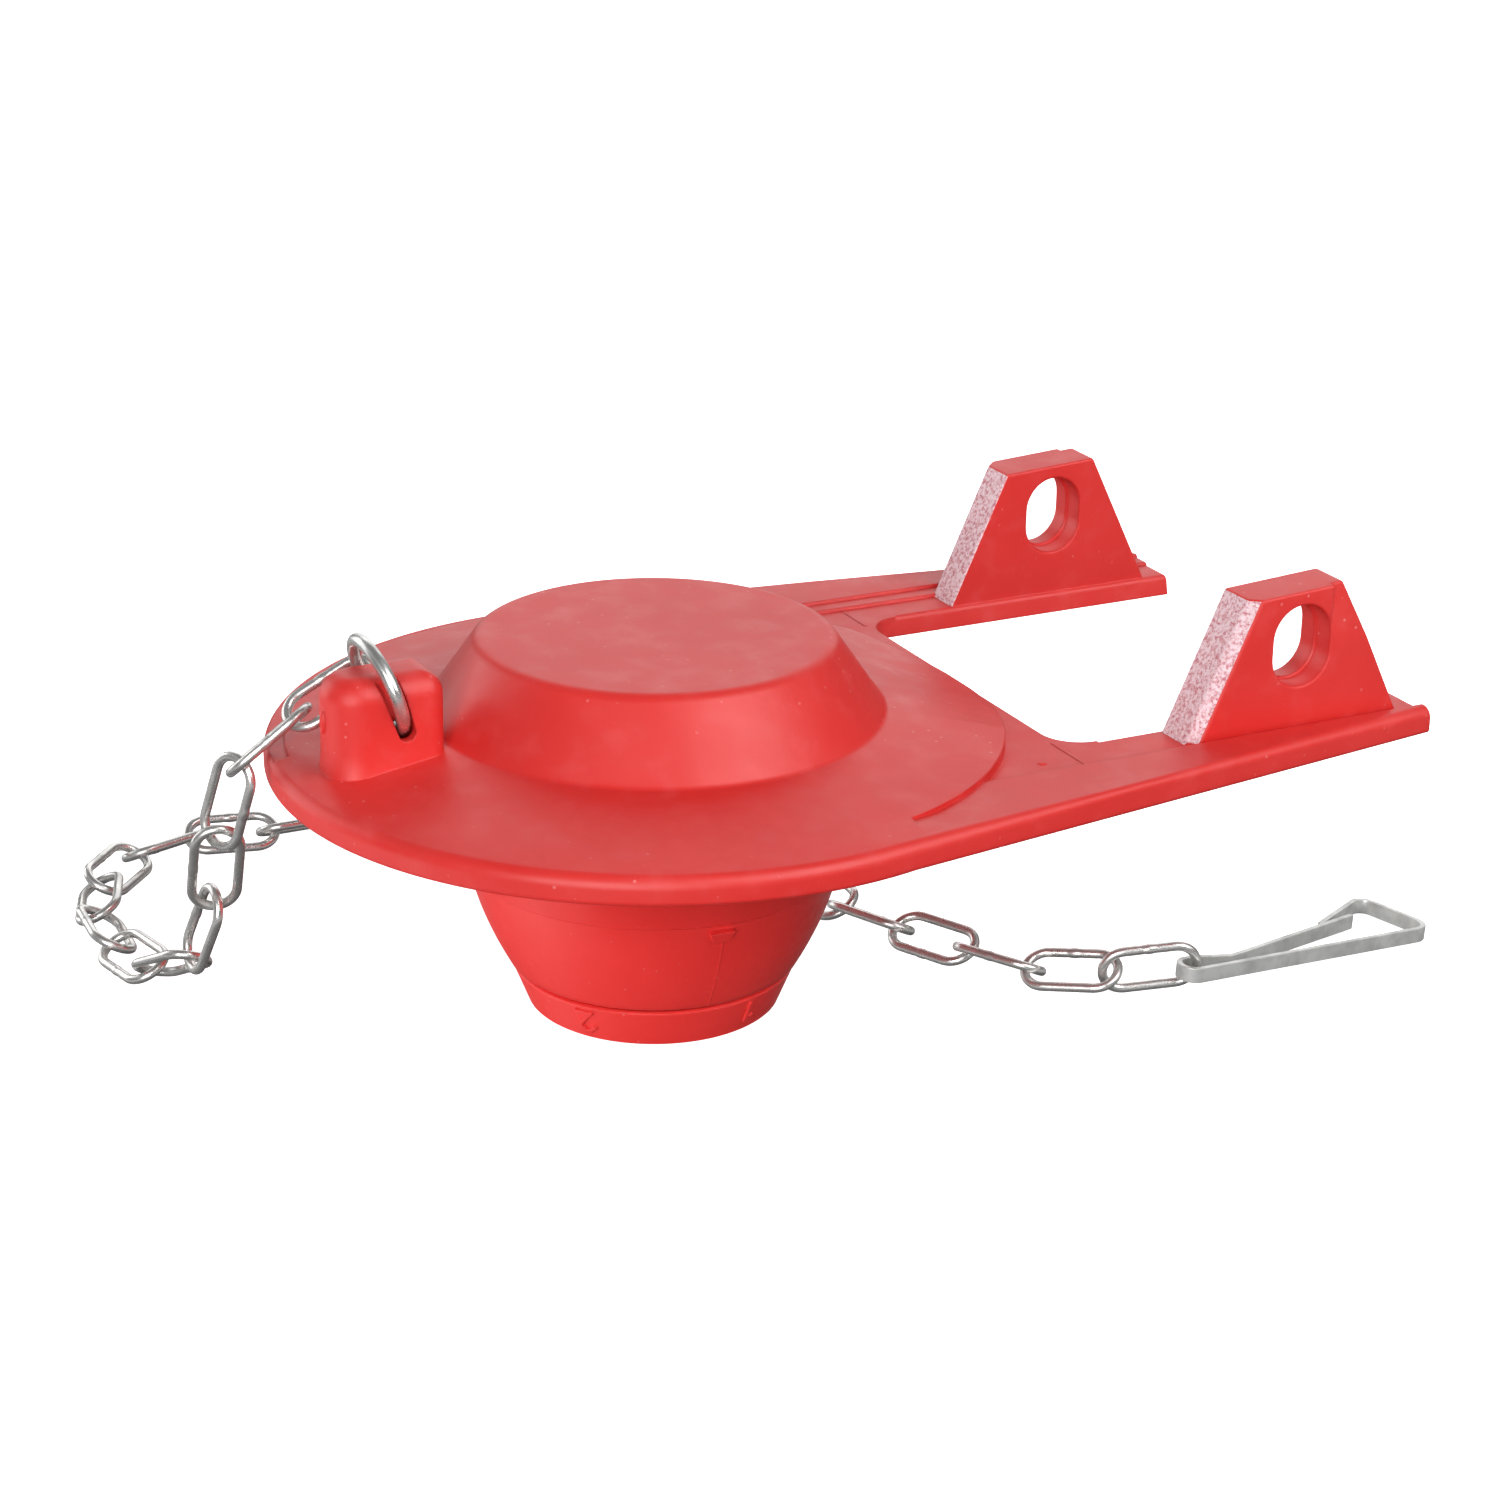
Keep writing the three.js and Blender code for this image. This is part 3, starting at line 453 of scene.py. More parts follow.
def rubber_material():
    """Moulded rubber: slow changes of tone, chalky clouds, dust and a fine grain."""
    nodes = Nodes("red_rubber")
    broad = nodes.noise(45)
    cloud = nodes.noise(260, 6)
    grain = nodes.noise(2600, 3)
    tone = nodes.mix(nodes.step(broad, 0.35, 0.65), *RUBBER_TONES)
    chalk = nodes.math("MULTIPLY", nodes.step(cloud, 0.52, 0.75), 0.22)
    tone = nodes.mix(chalk, tone, RUBBER_CHALK)
    dust = nodes.math("MULTIPLY", nodes.specks(520, 0.11), nodes.step(broad, 0.42, 0.6))
    tone = nodes.mix(nodes.math("MULTIPLY", dust, 0.28), tone, RUBBER_DUST)
    nodes.feed(nodes.shader.inputs["Base Color"], tone)
    nodes.feed(nodes.shader.inputs["Roughness"], nodes.step(cloud, 0.3, 0.7, 0.36, 0.5))
    nodes.shader.inputs["Specular IOR Level"].default_value = 0.5
    height = nodes.math("ADD", nodes.math("MULTIPLY", cloud, 0.7), nodes.math("MULTIPLY", grain, 0.3))
    normal = nodes.bump(height, 0.35, 0.05, nodes.edges(0.3))
    nodes.feed(nodes.shader.inputs["Normal"], normal)
    return nodes.material


def speckled_highlight_material():
    """The coarse mould texture on the sloping fronts of the ears, coloured in pale pinks that are a painted
    highlight.
    """
    nodes = Nodes("speckled_rubber_painted_highlight")
    spots = nodes.noise(2300, 5, 0.7)
    # painted highlight: the speckles' colours are pale pink and pink-white rather than the rubber's red;
    # their bump and roughness are the real texture
    tone = nodes.mix(nodes.step(spots, 0.38, 0.56), *SPECKLE_PAINTED_HIGHLIGHT_TONES)
    nodes.feed(nodes.shader.inputs["Base Color"], tone)
    nodes.feed(nodes.shader.inputs["Roughness"], nodes.step(spots, 0.4, 0.65, 0.5, 0.25))
    nodes.feed(nodes.shader.inputs["Normal"], nodes.bump(spots, 0.9, 0.18, nodes.edges(0.3)))
    return nodes.material


def plastic_material():
    """The float's and the dial's harder, brighter plastic."""
    nodes = Nodes("red_plastic")
    broad = nodes.noise(55)
    fine = nodes.noise(900, 5)
    tone = nodes.mix(nodes.step(broad, 0.35, 0.65), *PLASTIC_TONES)
    dust = nodes.math("MULTIPLY", nodes.specks(600, 0.1), nodes.step(broad, 0.45, 0.6))
    tone = nodes.mix(nodes.math("MULTIPLY", dust, 0.2), tone, PLASTIC_DUST)
    nodes.feed(nodes.shader.inputs["Base Color"], tone)
    nodes.feed(nodes.shader.inputs["Roughness"], nodes.step(fine, 0.3, 0.7, 0.34, 0.46))
    nodes.feed(nodes.shader.inputs["Normal"], nodes.bump(fine, 0.2, 0.04, nodes.edges(0.15)))
    return nodes.material


def steel_material(name, tone, roughness, metallic):
    """Plated wire or strip, with duller patches and a fine unevenness."""
    nodes = Nodes(name)
    cloud = nodes.noise(420, 5)
    fine = nodes.noise(3200, 4)
    dull = tuple(STEEL_DULL * c for c in tone)
    nodes.feed(nodes.shader.inputs["Base Color"], nodes.mix(nodes.step(cloud, 0.4, 0.7), tone, dull))
    nodes.shader.inputs["Metallic"].default_value = metallic
    rough = nodes.step(cloud, 0.3, 0.75, roughness, roughness + STEEL_ROUGHER)
    nodes.feed(nodes.shader.inputs["Roughness"], rough)
    height = nodes.math("ADD", nodes.math("MULTIPLY", cloud, 0.6), nodes.math("MULTIPLY", fine, 0.4))
    nodes.feed(nodes.shader.inputs["Normal"], nodes.bump(height, 0.3, 0.04))
    return nodes.material


# Flapper body

def disc_profile():
    """The disc and dome as (radius, height) points, from the dome's top round the rim to its roof inside."""
    slope = (DOME_BASE_RADIUS - DOME_TOP_RADIUS) / (DOME_TOP - DOME_ROUND - DOME_BASE)
    neck = NECK_RADIUS + GAP
    pocket = neck + CLIP_OVERHANG
    pocket_top = LIP_TOP + CLIP_HEIGHT + 2 * GAP

    def inner(z):
        return DOME_BASE_RADIUS - DOME_SIDE_WALL - (z - DOME_BASE) * slope

    roof = DOME_TOP - RUBBER
    roof_foot = roof - ROOF_CHAMFER["down"]
    underside = DISC_BOTTOM + SEAT_RELIEF
    seat_inner = DISC_RADIUS - SEAT_WIDTH
    lean = math.degrees(math.atan(slope))
    return [
        (0, DOME_TOP),
        *arc(DOME_TOP_RADIUS - DOME_ROUND, DOME_TOP - DOME_ROUND, DOME_ROUND, 90, lean, 10),
        *((DOME_BASE_RADIUS + out, DOME_BASE + up) for out, up in DOME_FOOT),
        (ANNULUS_RADIUS, ANNULUS_EDGE),
        *arc(DISC_RADIUS - RIM_ROUND, RIM_TOP - RIM_ROUND, RIM_ROUND, 80, 0, 12),
        *arc(DISC_RADIUS - SEAT_EDGE, DISC_BOTTOM + SEAT_EDGE, SEAT_EDGE, 0, -90, 5),
        (seat_inner, DISC_BOTTOM), (seat_inner - SEAT_SLOPE, underside),
        (neck + LIP_FOOT["wall"], underside + LIP_FOOT["rise"]),
        (neck + LIP_WALL, LIP_BOTTOM), (neck, LIP_BOTTOM), (neck, LIP_TOP), (pocket, LIP_TOP),
        (pocket, pocket_top - POCKET_CHAMFER), (pocket - POCKET_CHAMFER, pocket_top),
        (inner(pocket_top), pocket_top), (inner(roof_foot), roof_foot),
        (inner(roof_foot) - ROOF_CHAMFER["in"], roof), (0, roof),
    ]


# Each arm's outer edge is a straight line that leaves the disc's edge at a tangent.
ARM_ROOT_ANGLE = (math.atan2(ARM_END_Y, ARM_END_OUTER)
                  - math.acos(DISC_RADIUS / math.hypot(ARM_END_OUTER, ARM_END_Y)))
ARM_ROOT_X = DISC_RADIUS * math.cos(ARM_ROOT_ANGLE)
ARM_ROOT_Y = DISC_RADIUS * math.sin(ARM_ROOT_ANGLE)


def arm_outer(y):
    """How far out the arm's straight outer edge lies."""
    return ARM_ROOT_X + (ARM_END_OUTER - ARM_ROOT_X) * (y - ARM_ROOT_Y) / (ARM_END_Y - ARM_ROOT_Y)


def arm_section(y, side, edge, squash=1.0):
    """One arm's cross-section; the far arm steps down twice to its inner edge, the near arm once."""
    outer = arm_outer(y)
    top = ARM_FLOOR + 2 * ARM_STEP
    run = [(ARM_INNER - 0.4, PLATE_BOTTOM),
           *arc(ARM_INNER + ARM_INNER_ROUND, ARM_FLOOR - ARM_INNER_ROUND, ARM_INNER_ROUND, 180, 90, 4)]
    for i, x in enumerate(ARM_STEP_X):
        low = ARM_FLOOR + ARM_STEP * i if side < 0 else ARM_FLOOR
        high = ARM_FLOOR + ARM_STEP * (i + 1) if side < 0 or i else ARM_FLOOR + 0.01
        run += [(x, low), (x + 0.1, low + (high - low) * 0.8), (x + ARM_STEP_RUN, high)]
    run += arc(outer - edge, top - edge, edge, 90, 0, 10)
    run += arc(outer - ARM_CHAMFER, PLATE_BOTTOM + ARM_CHAMFER, ARM_CHAMFER, 0, -90, 5)
    return [(side * x, y, PLATE_BOTTOM + (z - PLATE_BOTTOM) * squash) for x, z in run]


def arm(side):
    """One arm, from where it leaves the disc to its rounded toe."""
    rings = [arm_section(y, side, RIM_ROUND + (ARM_ROUND - RIM_ROUND) * t)
             for t, y in zip(np.linspace(0, 1, 9), np.linspace(ARM_ROOT_Y, REAR_EDGE_Y, 9))]
    rings.append(arm_section(ARM_END_Y - TOE, side, ARM_END_ROUND))
    for t in np.linspace(0.25, 1, 4):
        turn = t * math.pi / 2
        drop = 1 - TOE_DROP * (1 - math.cos(turn))
        rings.append(arm_section(ARM_END_Y - TOE + TOE * math.sin(turn), side, ARM_END_ROUND, drop))
    return loft("arm", rings)


def frame_plate():
    """The plate behind the disc, with a round where each arm leaves its rear edge."""
    corner = ARM_INNER - REAR_FILLET
    half = [
        *arc(corner, REAR_EDGE_Y + REAR_FILLET, REAR_FILLET, -90, 0, 12),
        (ARM_INNER + PLATE_OVERLAP, REAR_EDGE_Y + REAR_FILLET),
        (arm_outer(REAR_EDGE_Y) - PLATE_INSET, REAR_EDGE_Y), (ARM_ROOT_X - PLATE_INSET, ARM_ROOT_Y),
    ]
    return prism("plate", half + [(-x, y) for x, y in reversed(half)], PLATE_BOTTOM, ARM_FLOOR)


def seat_relief():
    """The space inside the seat ring, cut from the frame a little past the disc's own underside."""
    edge = DISC_RADIUS - SEAT_WIDTH + RELIEF_OVERCUT
    mouth, roof = DISC_BOTTOM - PAST, DISC_BOTTOM + SEAT_RELIEF + RELIEF_OVERCUT
    return revolve("relief", [(0, mouth), (edge, mouth), (edge, DISC_BOTTOM), (edge - SEAT_SLOPE, roof),
                              (0, roof)])


def on_ear_front(face):
    """True for the sloping front of an ear, which has the coarse mould texture and a painted highlight."""
    middle, normal, slack = face.center / MM, face.normal, EAR_FRONT["slack"]
    beside = EAR_INNER - slack < abs(middle.x) < EAR_INNER + EAR_THICK + slack
    above = middle.z > ARM_FLOOR + EAR_FRONT["above"]
    ahead = middle.y < HOLE_Y - HOLE_RADIUS - EAR_FRONT["ahead"]
    low, high = EAR_FRONT["normal_z"]
    return beside and above and ahead and normal.y < EAR_FRONT["normal_y"] and low < normal.z < high


def mould_line(side):
    """The faint ridge across an arm, in line with the plate's rear edge."""
    y, width = MOULD_LINE["y"], MOULD_LINE["width"]
    ends = sorted((side * (ARM_INNER - MOULD_LINE["inset"]), side * (EAR_INNER + EAR_THICK)))
    outline = [(ends[0], y), (ends[1], y), (ends[1], y + width), (ends[0], y + width)]
    return prism("mould_line", outline, ARM_FLOOR - MARK_ROOT, ARM_FLOOR + MOULD_LINE["proud"])


def pip():
    """The small moulded dot on the plate beside the near arm."""
    low, radius, high = ARM_FLOOR - MARK_ROOT, PIP["radius"], ARM_FLOOR + PIP["proud"]
    dot = revolve("pip", [(0, low), (radius, low), (radius, ARM_FLOOR), (radius * 0.6, high), (0, high)], 24)
    dot.data.transform(Matrix.Translation((PIP["x"] * MM, PIP["y"] * MM, 0)))
    return dot


def disc_trims():
    """What is cut off the turned disc at the rear and on the far band."""
    reach = DISC_RADIUS + 2
    keep = revolve("keep", [(0, 0), (ANNULUS_RADIUS, 0), (ANNULUS_RADIUS, CUT_TOP), (0, CUT_TOP)])
    step = [(STEP_START_Y, RIM_TOP + PAST), (STEP_START_Y, RIM_TOP + STEP_START_RISE),
            (REAR_EDGE_Y - STEP_END, ARM_FLOOR), (reach, ARM_FLOOR), (reach, RIM_TOP + PAST)]
    wedge = boolean(side_prism("wedge", step, -reach, reach), "DIFFERENCE", keep)
    behind = prism("behind", [(-ARM_INNER, REAR_EDGE_Y), (ARM_INNER, REAR_EDGE_Y), (ARM_INNER, reach),
                              (-ARM_INNER, reach)], 0, CUT_TOP)
    band_foot = RIM_TOP - FAR_BAND_STEP
    band = revolve("band", [(FAR_BAND_RADIUS, band_foot), (reach, band_foot), (reach, RIM_TOP + 2),
                            (FAR_BAND_RADIUS, RIM_TOP + 2), (FAR_BAND_RADIUS, band_foot)])
    far = prism("far", [(-reach, -reach), (FAR_BAND_X, -reach), (FAR_BAND_X, reach), (-reach, reach)],
                0, CUT_TOP)
    slope = (DOME_BASE - ANNULUS_EDGE) / (ANNULUS_RADIUS - DOME_BASE_RADIUS)
    fall_top = ANNULUS_EDGE + (ANNULUS_RADIUS - REAR_FALL_Y) * slope
    run = [(REAR_FALL_Y, fall_top), (ANNULUS_RADIUS, ARM_FLOOR + 0.1),
           (ANNULUS_RADIUS + PAST, fall_top + PAST), (REAR_FALL_Y, fall_top + PAST)]
    fall = side_prism("fall", run, -ARM_INNER, ARM_INNER)
    return wedge, behind, boolean(band, "INTERSECT", far), fall


def ear_outline():
    """The ear from the side, with its foot sunk into the arm."""
    foot = ARM_FLOOR - EAR_ROOT
    front = (EAR["front_top"] - EAR["front_foot"]) / (EAR_FRONT_TOP - ARM_FLOOR)
    rear = (EAR["rear_foot"] - EAR["rear_top"]) / (EAR_REAR_TOP - ARM_FLOOR)
    return [(EAR["front_foot"] - front * EAR_ROOT, foot), (EAR["front_top"], EAR_FRONT_TOP),
            (EAR["rear_top"], EAR_REAR_TOP), (EAR["rear_foot"] + rear * EAR_ROOT, foot)]


def hole_ring(x, radius):
    """The ear hole's outline at one place along X: two half circles joined by short upright sides."""
    run = arc(HOLE_Y, HOLE_Z + HOLE_RISE, radius, 0, 180, 24)
    run += arc(HOLE_Y, HOLE_Z - HOLE_RISE, radius, 180, 360, 24)
    return [(x, y, z) for y, z in run]


def ear_hole_cutter(middle):
    """A cutter along X with bevelled mouths and a narrower waist where the core pins meet."""
    half = EAR_THICK / 2
    mouth = HOLE_RADIUS + HOLE_BEVEL
    step = HOLE_BEVEL * 0.4
    steps = [
        (-half - PAST, mouth), (-half, mouth), (-half + step, mouth - HOLE_BEVEL_DROP),
        (-half + HOLE_BEVEL, HOLE_RADIUS),
        (-HOLE_FLASH, HOLE_RADIUS), (0, HOLE_RADIUS - HOLE_FLASH), (HOLE_FLASH, HOLE_RADIUS),
        (half - HOLE_BEVEL, HOLE_RADIUS), (half - step, mouth - HOLE_BEVEL_DROP), (half, mouth),
        (half + PAST, mouth),
    ]
    return loft("hole", [hole_ring(middle + x, radius) for x, radius in steps])


def ear_chamfer(side):
    """Cuts the outer front edge of an ear at 45 degrees."""
    outer = EAR_INNER + EAR_THICK
    slope = (EAR["front_top"] - EAR["front_foot"]) / (EAR_FRONT_TOP - ARM_FLOOR)
    near, far = side * (outer - EAR_CHAMFER - PAST), side * (outer + PAST)
    rings = []
    for z in (ARM_FLOOR, EAR_FRONT_TOP + PAST):
        y = EAR["front_foot"] + slope * (z - ARM_FLOOR)
        rings.append([(near, y - PAST, z), (far, y - PAST, z), (far, y + EAR_CHAMFER + PAST, z)])
    return loft("chamfer", rings)


def ear_recess(side):
    """Cuts the step behind the hole, deepest at the ear's top and running out to nothing downwards."""
    outer = EAR_INNER + EAR_THICK
    y, depth, top, foot = (EAR_RECESS[k] for k in ("y", "depth", "top", "foot"))
    far, rear = side * (outer + PAST), EAR["rear_foot"]
    rings = []
    for z, deep in ((foot, 0), (top, depth)):
        near = side * (outer - deep)
        rings.append([(near, y, z), (far, y, z), (far, rear, z), (near, rear, z)])
    return loft("recess", rings)


def ear(side):
    """One ear with its chamfer, its step behind the hole and the hole."""
    inner, outer = EAR_INNER, EAR_INNER + EAR_THICK
    span = (inner, outer) if side > 0 else (-outer, -inner)
    plate = side_prism("ear", ear_outline(), *span)
    boolean(plate, "DIFFERENCE", ear_chamfer(side), ear_recess(side))
    bevel(plate, EAR_ROUND, 3)
    return boolean(plate, "DIFFERENCE", ear_hole_cutter(side * (inner + outer) / 2))


def lug_outline(inset, flare):
    """One level of the lug; the foot's front is wider than its rear."""
    half = LUG_THICK / 2 - inset
    front, rear = LUG_FRONT + inset - LUG_FLARE_SHARE["front"] * flare, LUG_REAR - inset
    corner = max(LUG_CORNER - inset, LUG_LEAST_CORNER["front"])
    rear_corner = max(LUG_REAR_CORNER - inset, LUG_LEAST_CORNER["rear"])
    front_x = half + flare - corner
    rear_x = half + LUG_FLARE_SHARE["rear"] * flare - rear_corner
    return [
        *arc(front_x, front + corner, corner, -90, 0, 12),
        *arc(rear_x, rear - rear_corner, rear_corner, 0, 90, 12),
        *arc(-rear_x, rear - rear_corner, rear_corner, 90, 180, 12),
        *arc(-front_x, front + corner, corner, 180, 270, 12),
    ]


def ring_slot(foot, top, start, rise):
    """A slot along the leaning ring, from start to rise above its seat, with two half-widths."""
    lean = math.radians(RING_LEAN)
    y, z = LUG_HOLE_Y + RING_BACK, LUG_HOLE_Z - RING_SEAT
    low, high = ((y - up * math.sin(lean), z + up * math.cos(lean)) for up in (start, rise))
    return [*arc(*low, foot, 180 + RING_LEAN, 360 + RING_LEAN, 20),
            *arc(*high, top, RING_LEAN, 180 + RING_LEAN, 20)]


def lug():
    """The front lug: a slot right through it, a groove up each side and the gate's mark in front."""
    half = LUG_THICK / 2
    base = ANNULUS_EDGE - LUG_ROOT
    levels = [(z, 0.0, LUG_FLARE * ((LUG_FLARE_TOP - z) / (LUG_FLARE_TOP - base)) ** 2)
              for z in np.linspace(base, LUG_FLARE_TOP, 9)]
    levels += [(LUG_TOP - LUG_ROUND + LUG_ROUND * math.sin(t), LUG_ROUND * (1 - math.cos(t)), 0.0)
               for t in np.linspace(0, math.pi / 2, 14)]
    block = loft("lug", [[(x, y, z) for x, y in lug_outline(inset, flare)] for z, inset, flare in levels])
    bottom = half - LUG_GROOVE
    slot = ring_slot(LUG_HOLE_RADIUS, LUG_HOLE_RADIUS, 0, LUG_HOLE_RISE)
    reach = bottom + LUG_DRILL_OVERLAP
    cutters = [side_prism("drill", slot, -reach, reach)]
    top = LUG_TOP - LUG_HOLE_Z + LUG_GROOVE_PAST
    for side, start in LUG_GROOVE_START.items():
        groove = ring_slot(LUG_HOLE_RADIUS, LUG_GROOVE_HALF_WIDTH, start, top)
        span = sorted((side * bottom, side * (half + LUG_GROOVE_PAST)))
        cutters.append(side_prism("groove", groove, *span))
    boolean(block, "DIFFERENCE", *cutters)
    radius, high = LUG_NUB["radius"], LUG_NUB["half_height"]
    turns = np.linspace(-math.pi / 2, math.pi / 2, 13)[1:-1]
    swell = [(radius * math.cos(t), high * math.sin(t)) for t in turns]
    nub = revolve("nub", [(0, -high), *swell, (0, high)], 24)
    nub.data.transform(Matrix.Translation(Vector((LUG_NUB["x"], LUG_FRONT, LUG_NUB["z"])) * MM))
    return boolean(block, "UNION", nub)


def chamber():
    """The room inside the disc that the float's neck and clip fill."""
    neck, low = NECK_RADIUS + GAP, DISC_BOTTOM - CHAMBER_DEPTH
    clip, clip_top = neck + CLIP_OVERHANG, LIP_TOP + CLIP_HEIGHT
    return revolve("chamber", [(0, low), (neck, low), (neck, LIP_TOP), (clip, LIP_TOP), (clip, clip_top),
                               (0, clip_top)])


def flapper_body():
    """The whole rubber moulding as one piece."""
    body = revolve("flapper_body_skin", disc_profile())
    boolean(body, "DIFFERENCE", *disc_trims())
    frame_part = boolean(frame_plate(), "UNION", arm(1), arm(-1))
    boolean(frame_part, "DIFFERENCE", seat_relief())
    boolean(body, "UNION", frame_part, ear(1), ear(-1), lug(), mould_line(1), mould_line(-1), pip())
    boolean(body, "DIFFERENCE", chamber())
    return smooth(body)


# Float

def cone_radius(z):
    """The cone's outer radius at a height; its side bulges a little between foot and crease."""
    t = (z - CONE_BOTTOM) / (CREASE - CONE_BOTTOM)
    return CONE_BOTTOM_RADIUS + (CREASE_RADIUS - CONE_BOTTOM_RADIUS) * t + CONE_BULGE * 4 * t * (1 - t)


def on_slope(degrees, radius, z, lean):
    """Places a flat drawing on a slope round Z: x runs round, y up the slope, z outward."""
    angle = math.radians(degrees)
    around = Vector((-math.sin(angle), math.cos(angle), 0))
    out = Vector((math.cos(angle), math.sin(angle), 0))
    up = out * math.sin(lean) + Vector((0, 0, math.cos(lean)))
    place = Matrix((around, up, around.cross(up))).transposed().to_4x4()
    place.translation = (out * radius + Vector((0, 0, z))) * MM
    return place


def cone_seam():
    """A faint upright ridge where the mould's halves met, below the pointer."""
    rings = []
    for z in np.linspace(CONE_BOTTOM + 0.4, CREASE - 1.6, 16):
        low, high = cone_radius(z) - SEAM["root"], cone_radius(z) + SEAM["proud"]
        shoulder, half = high - SEAM["shoulder"], SEAM["width"] / 2
        rings.append([(low, -half, z), (shoulder, -half, z), (high, 0, z), (shoulder, half, z),
                      (low, half, z)])
    seam = loft("seam", rings)
    seam.data.transform(Matrix.Rotation(math.radians(SEAM["angle"]), 4, "Z"))
    return seam


def float_cone():
    """The hollow cone with its neck and clip above, a port in its floor, a pointer and a seam."""
    heights = np.linspace(CONE_BOTTOM + CONE_FOOT_ROUND, CREASE - 0.25, 18)
    shoulder = LIP_BOTTOM - GAP
    clip_bottom = LIP_TOP + GAP
    clip_top = clip_bottom + CLIP_HEIGHT
    inner = NECK_RADIUS - CONE_WALL
    hole = STEM_RADIUS + GAP
    floor_top = CONE_BOTTOM + FLOAT_FLOOR
    shell = revolve("float_cone_skin", [
        (hole, CONE_BOTTOM), (CONE_BOTTOM_RADIUS - CONE_FOOT_ROUND, CONE_BOTTOM),
        (CONE_BOTTOM_RADIUS - 0.12, CONE_BOTTOM + 0.1),
        *((cone_radius(z), z) for z in heights), (CREASE_RADIUS - 0.02, CREASE - 0.05),
        (CREASE_RADIUS + CREASE_STEP * 0.8, CREASE + CREASE_STEP * 0.3),
        (CREASE_RADIUS + CREASE_STEP, CREASE + CREASE_STEP * 1.4), (COLLAR_TOP_RADIUS, shoulder),
        (NECK_RADIUS, shoulder), (NECK_RADIUS, clip_bottom),
        (NECK_RADIUS + CLIP_OVERHANG, clip_bottom), (NECK_RADIUS + CLIP_OVERHANG, clip_bottom + 0.7),
        (NECK_RADIUS + 0.3, clip_top), (inner, clip_top), (inner, shoulder),
        (CREASE_RADIUS - CONE_WALL, CREASE), (cone_radius(floor_top) - CONE_WALL, floor_top),
        (hole, floor_top), (hole, CONE_BOTTOM),
    ])
    port = revolve("port", [(0, 0), (PORT_RADIUS, 0), (PORT_RADIUS, 12), (0, 12)], 48)
    port.data.transform(Matrix.Translation((0, PORT_OFFSET * MM, 0)))
    top, foot, height, proud = (POINTER[k] for k in ("top", "foot", "height", "proud"))
    outline = [(-top / 2, 0), (top / 2, 0), (foot / 2, -height), (-foot / 2, -height)]
    wedge = bevel(prism("pointer", outline, -1, proud), POINTER_ROUND, 2)
    place = on_slope(POINTER_ANGLE, cone_radius(CREASE - 1), CREASE - POINTER_DROP, POINTER_LEAN)
    wedge.data.transform(place)
    boolean(shell, "DIFFERENCE", port)
    return smooth(boolean(shell, "UNION", wedge, cone_seam()))


# Dial

NUMERAL_STROKES = {
    1: [[(-0.5, 0.5), (0.2, 0.9)], [(0.2, 1.1), (0.2, -1.5)]],
    2: [[(-0.8, 0.9), (-0.3, 1.4), (0.4, 1.4), (0.8, 0.8), (0.5, 0.1), (-0.8, -1.4), (0.9, -1.4)]],
    3: [[(-0.8, 1.4), (0.8, 1.4), (0, 0.4), (0.7, 0), (0.8, -0.8), (0.2, -1.4), (-0.8, -1.2)]],
    4: [[(0.4, -1.5), (0.4, 1.4), (-0.9, -0.6), (0.9, -0.6)]],
    5: [[(0.8, 1.4), (-0.7, 1.4), (-0.7, 0.3), (0.3, 0.3), (0.8, -0.4), (0.4, -1.3), (-0.8, -1.4)]],
}


def ribbon(points, width):
    """Gives a flat centre line a width, as a closed outline."""
    def side(sign):
        out = []
        for i, (x, y) in enumerate(points):
            ax, ay = points[max(i - 1, 0)]
            bx, by = points[min(i + 1, len(points) - 1)]
            length = math.hypot(bx - ax, by - ay)
            right, ahead = sign * (by - ay), sign * (bx - ax)
            out.append((x - right * width / 2 / length, y + ahead * width / 2 / length))
        return out
    return side(1) + side(-1)[::-1]


def dial_slope():
    """Foot of the dial's sloping side as (radius, height), and how much its radius grows with height."""
    turn = math.radians(DIAL_FOOT_ANGLE)
    radius = DIAL_FOOT_RADIUS + DIAL_FOOT_ROUND * math.cos(turn)
    height = DIAL_FOOT_ROUND * (1 + math.sin(turn))
    return radius, height, (DIAL_TOP_RADIUS - radius) / (DIAL_HEIGHT - DIAL_TOP_EDGE - height)


def bar(a, b, width):
    """A straight stroke from a to b, half its width longer at both ends."""
    along = Vector((b[0] - a[0], b[1] - a[1])).normalized() * width / 2
    out = Vector((-along.y, along.x))
    a, b = Vector(a) - along, Vector(b) + along
    return [tuple(a + out), tuple(a - out), tuple(b - out), tuple(b + out)]


def numeral(digit):
    """One numeral's strokes in relief; NUMERAL_STROKES draws each numeral 3 high."""
    scale = NUMERAL_HEIGHT / 3
    radius, height, growth = dial_slope()
    angle = FIRST_NUMERAL_ANGLE - (digit - 1) * 360 / NUMERALS
    middle = DIAL_HEIGHT / 2 + NUMERAL_RISE
    face = radius + growth * (middle - height) - NUMERAL_SINK
    place = on_slope(angle, face, middle, math.atan(growth))
    strokes = []
    for stroke in NUMERAL_STROKES[digit]:
        points = [(-x * scale, -y * scale) for x, y in stroke]
        for a, b in zip(points, points[1:]):
            piece = prism("stroke", bar(a, b, NUMERAL_STROKE), -NUMERAL_ROOT, NUMERAL_PROUD)
            bevel(piece, NUMERAL_ROUND, 2)
            piece.data.transform(place)
            strokes.append(piece)
    return strokes


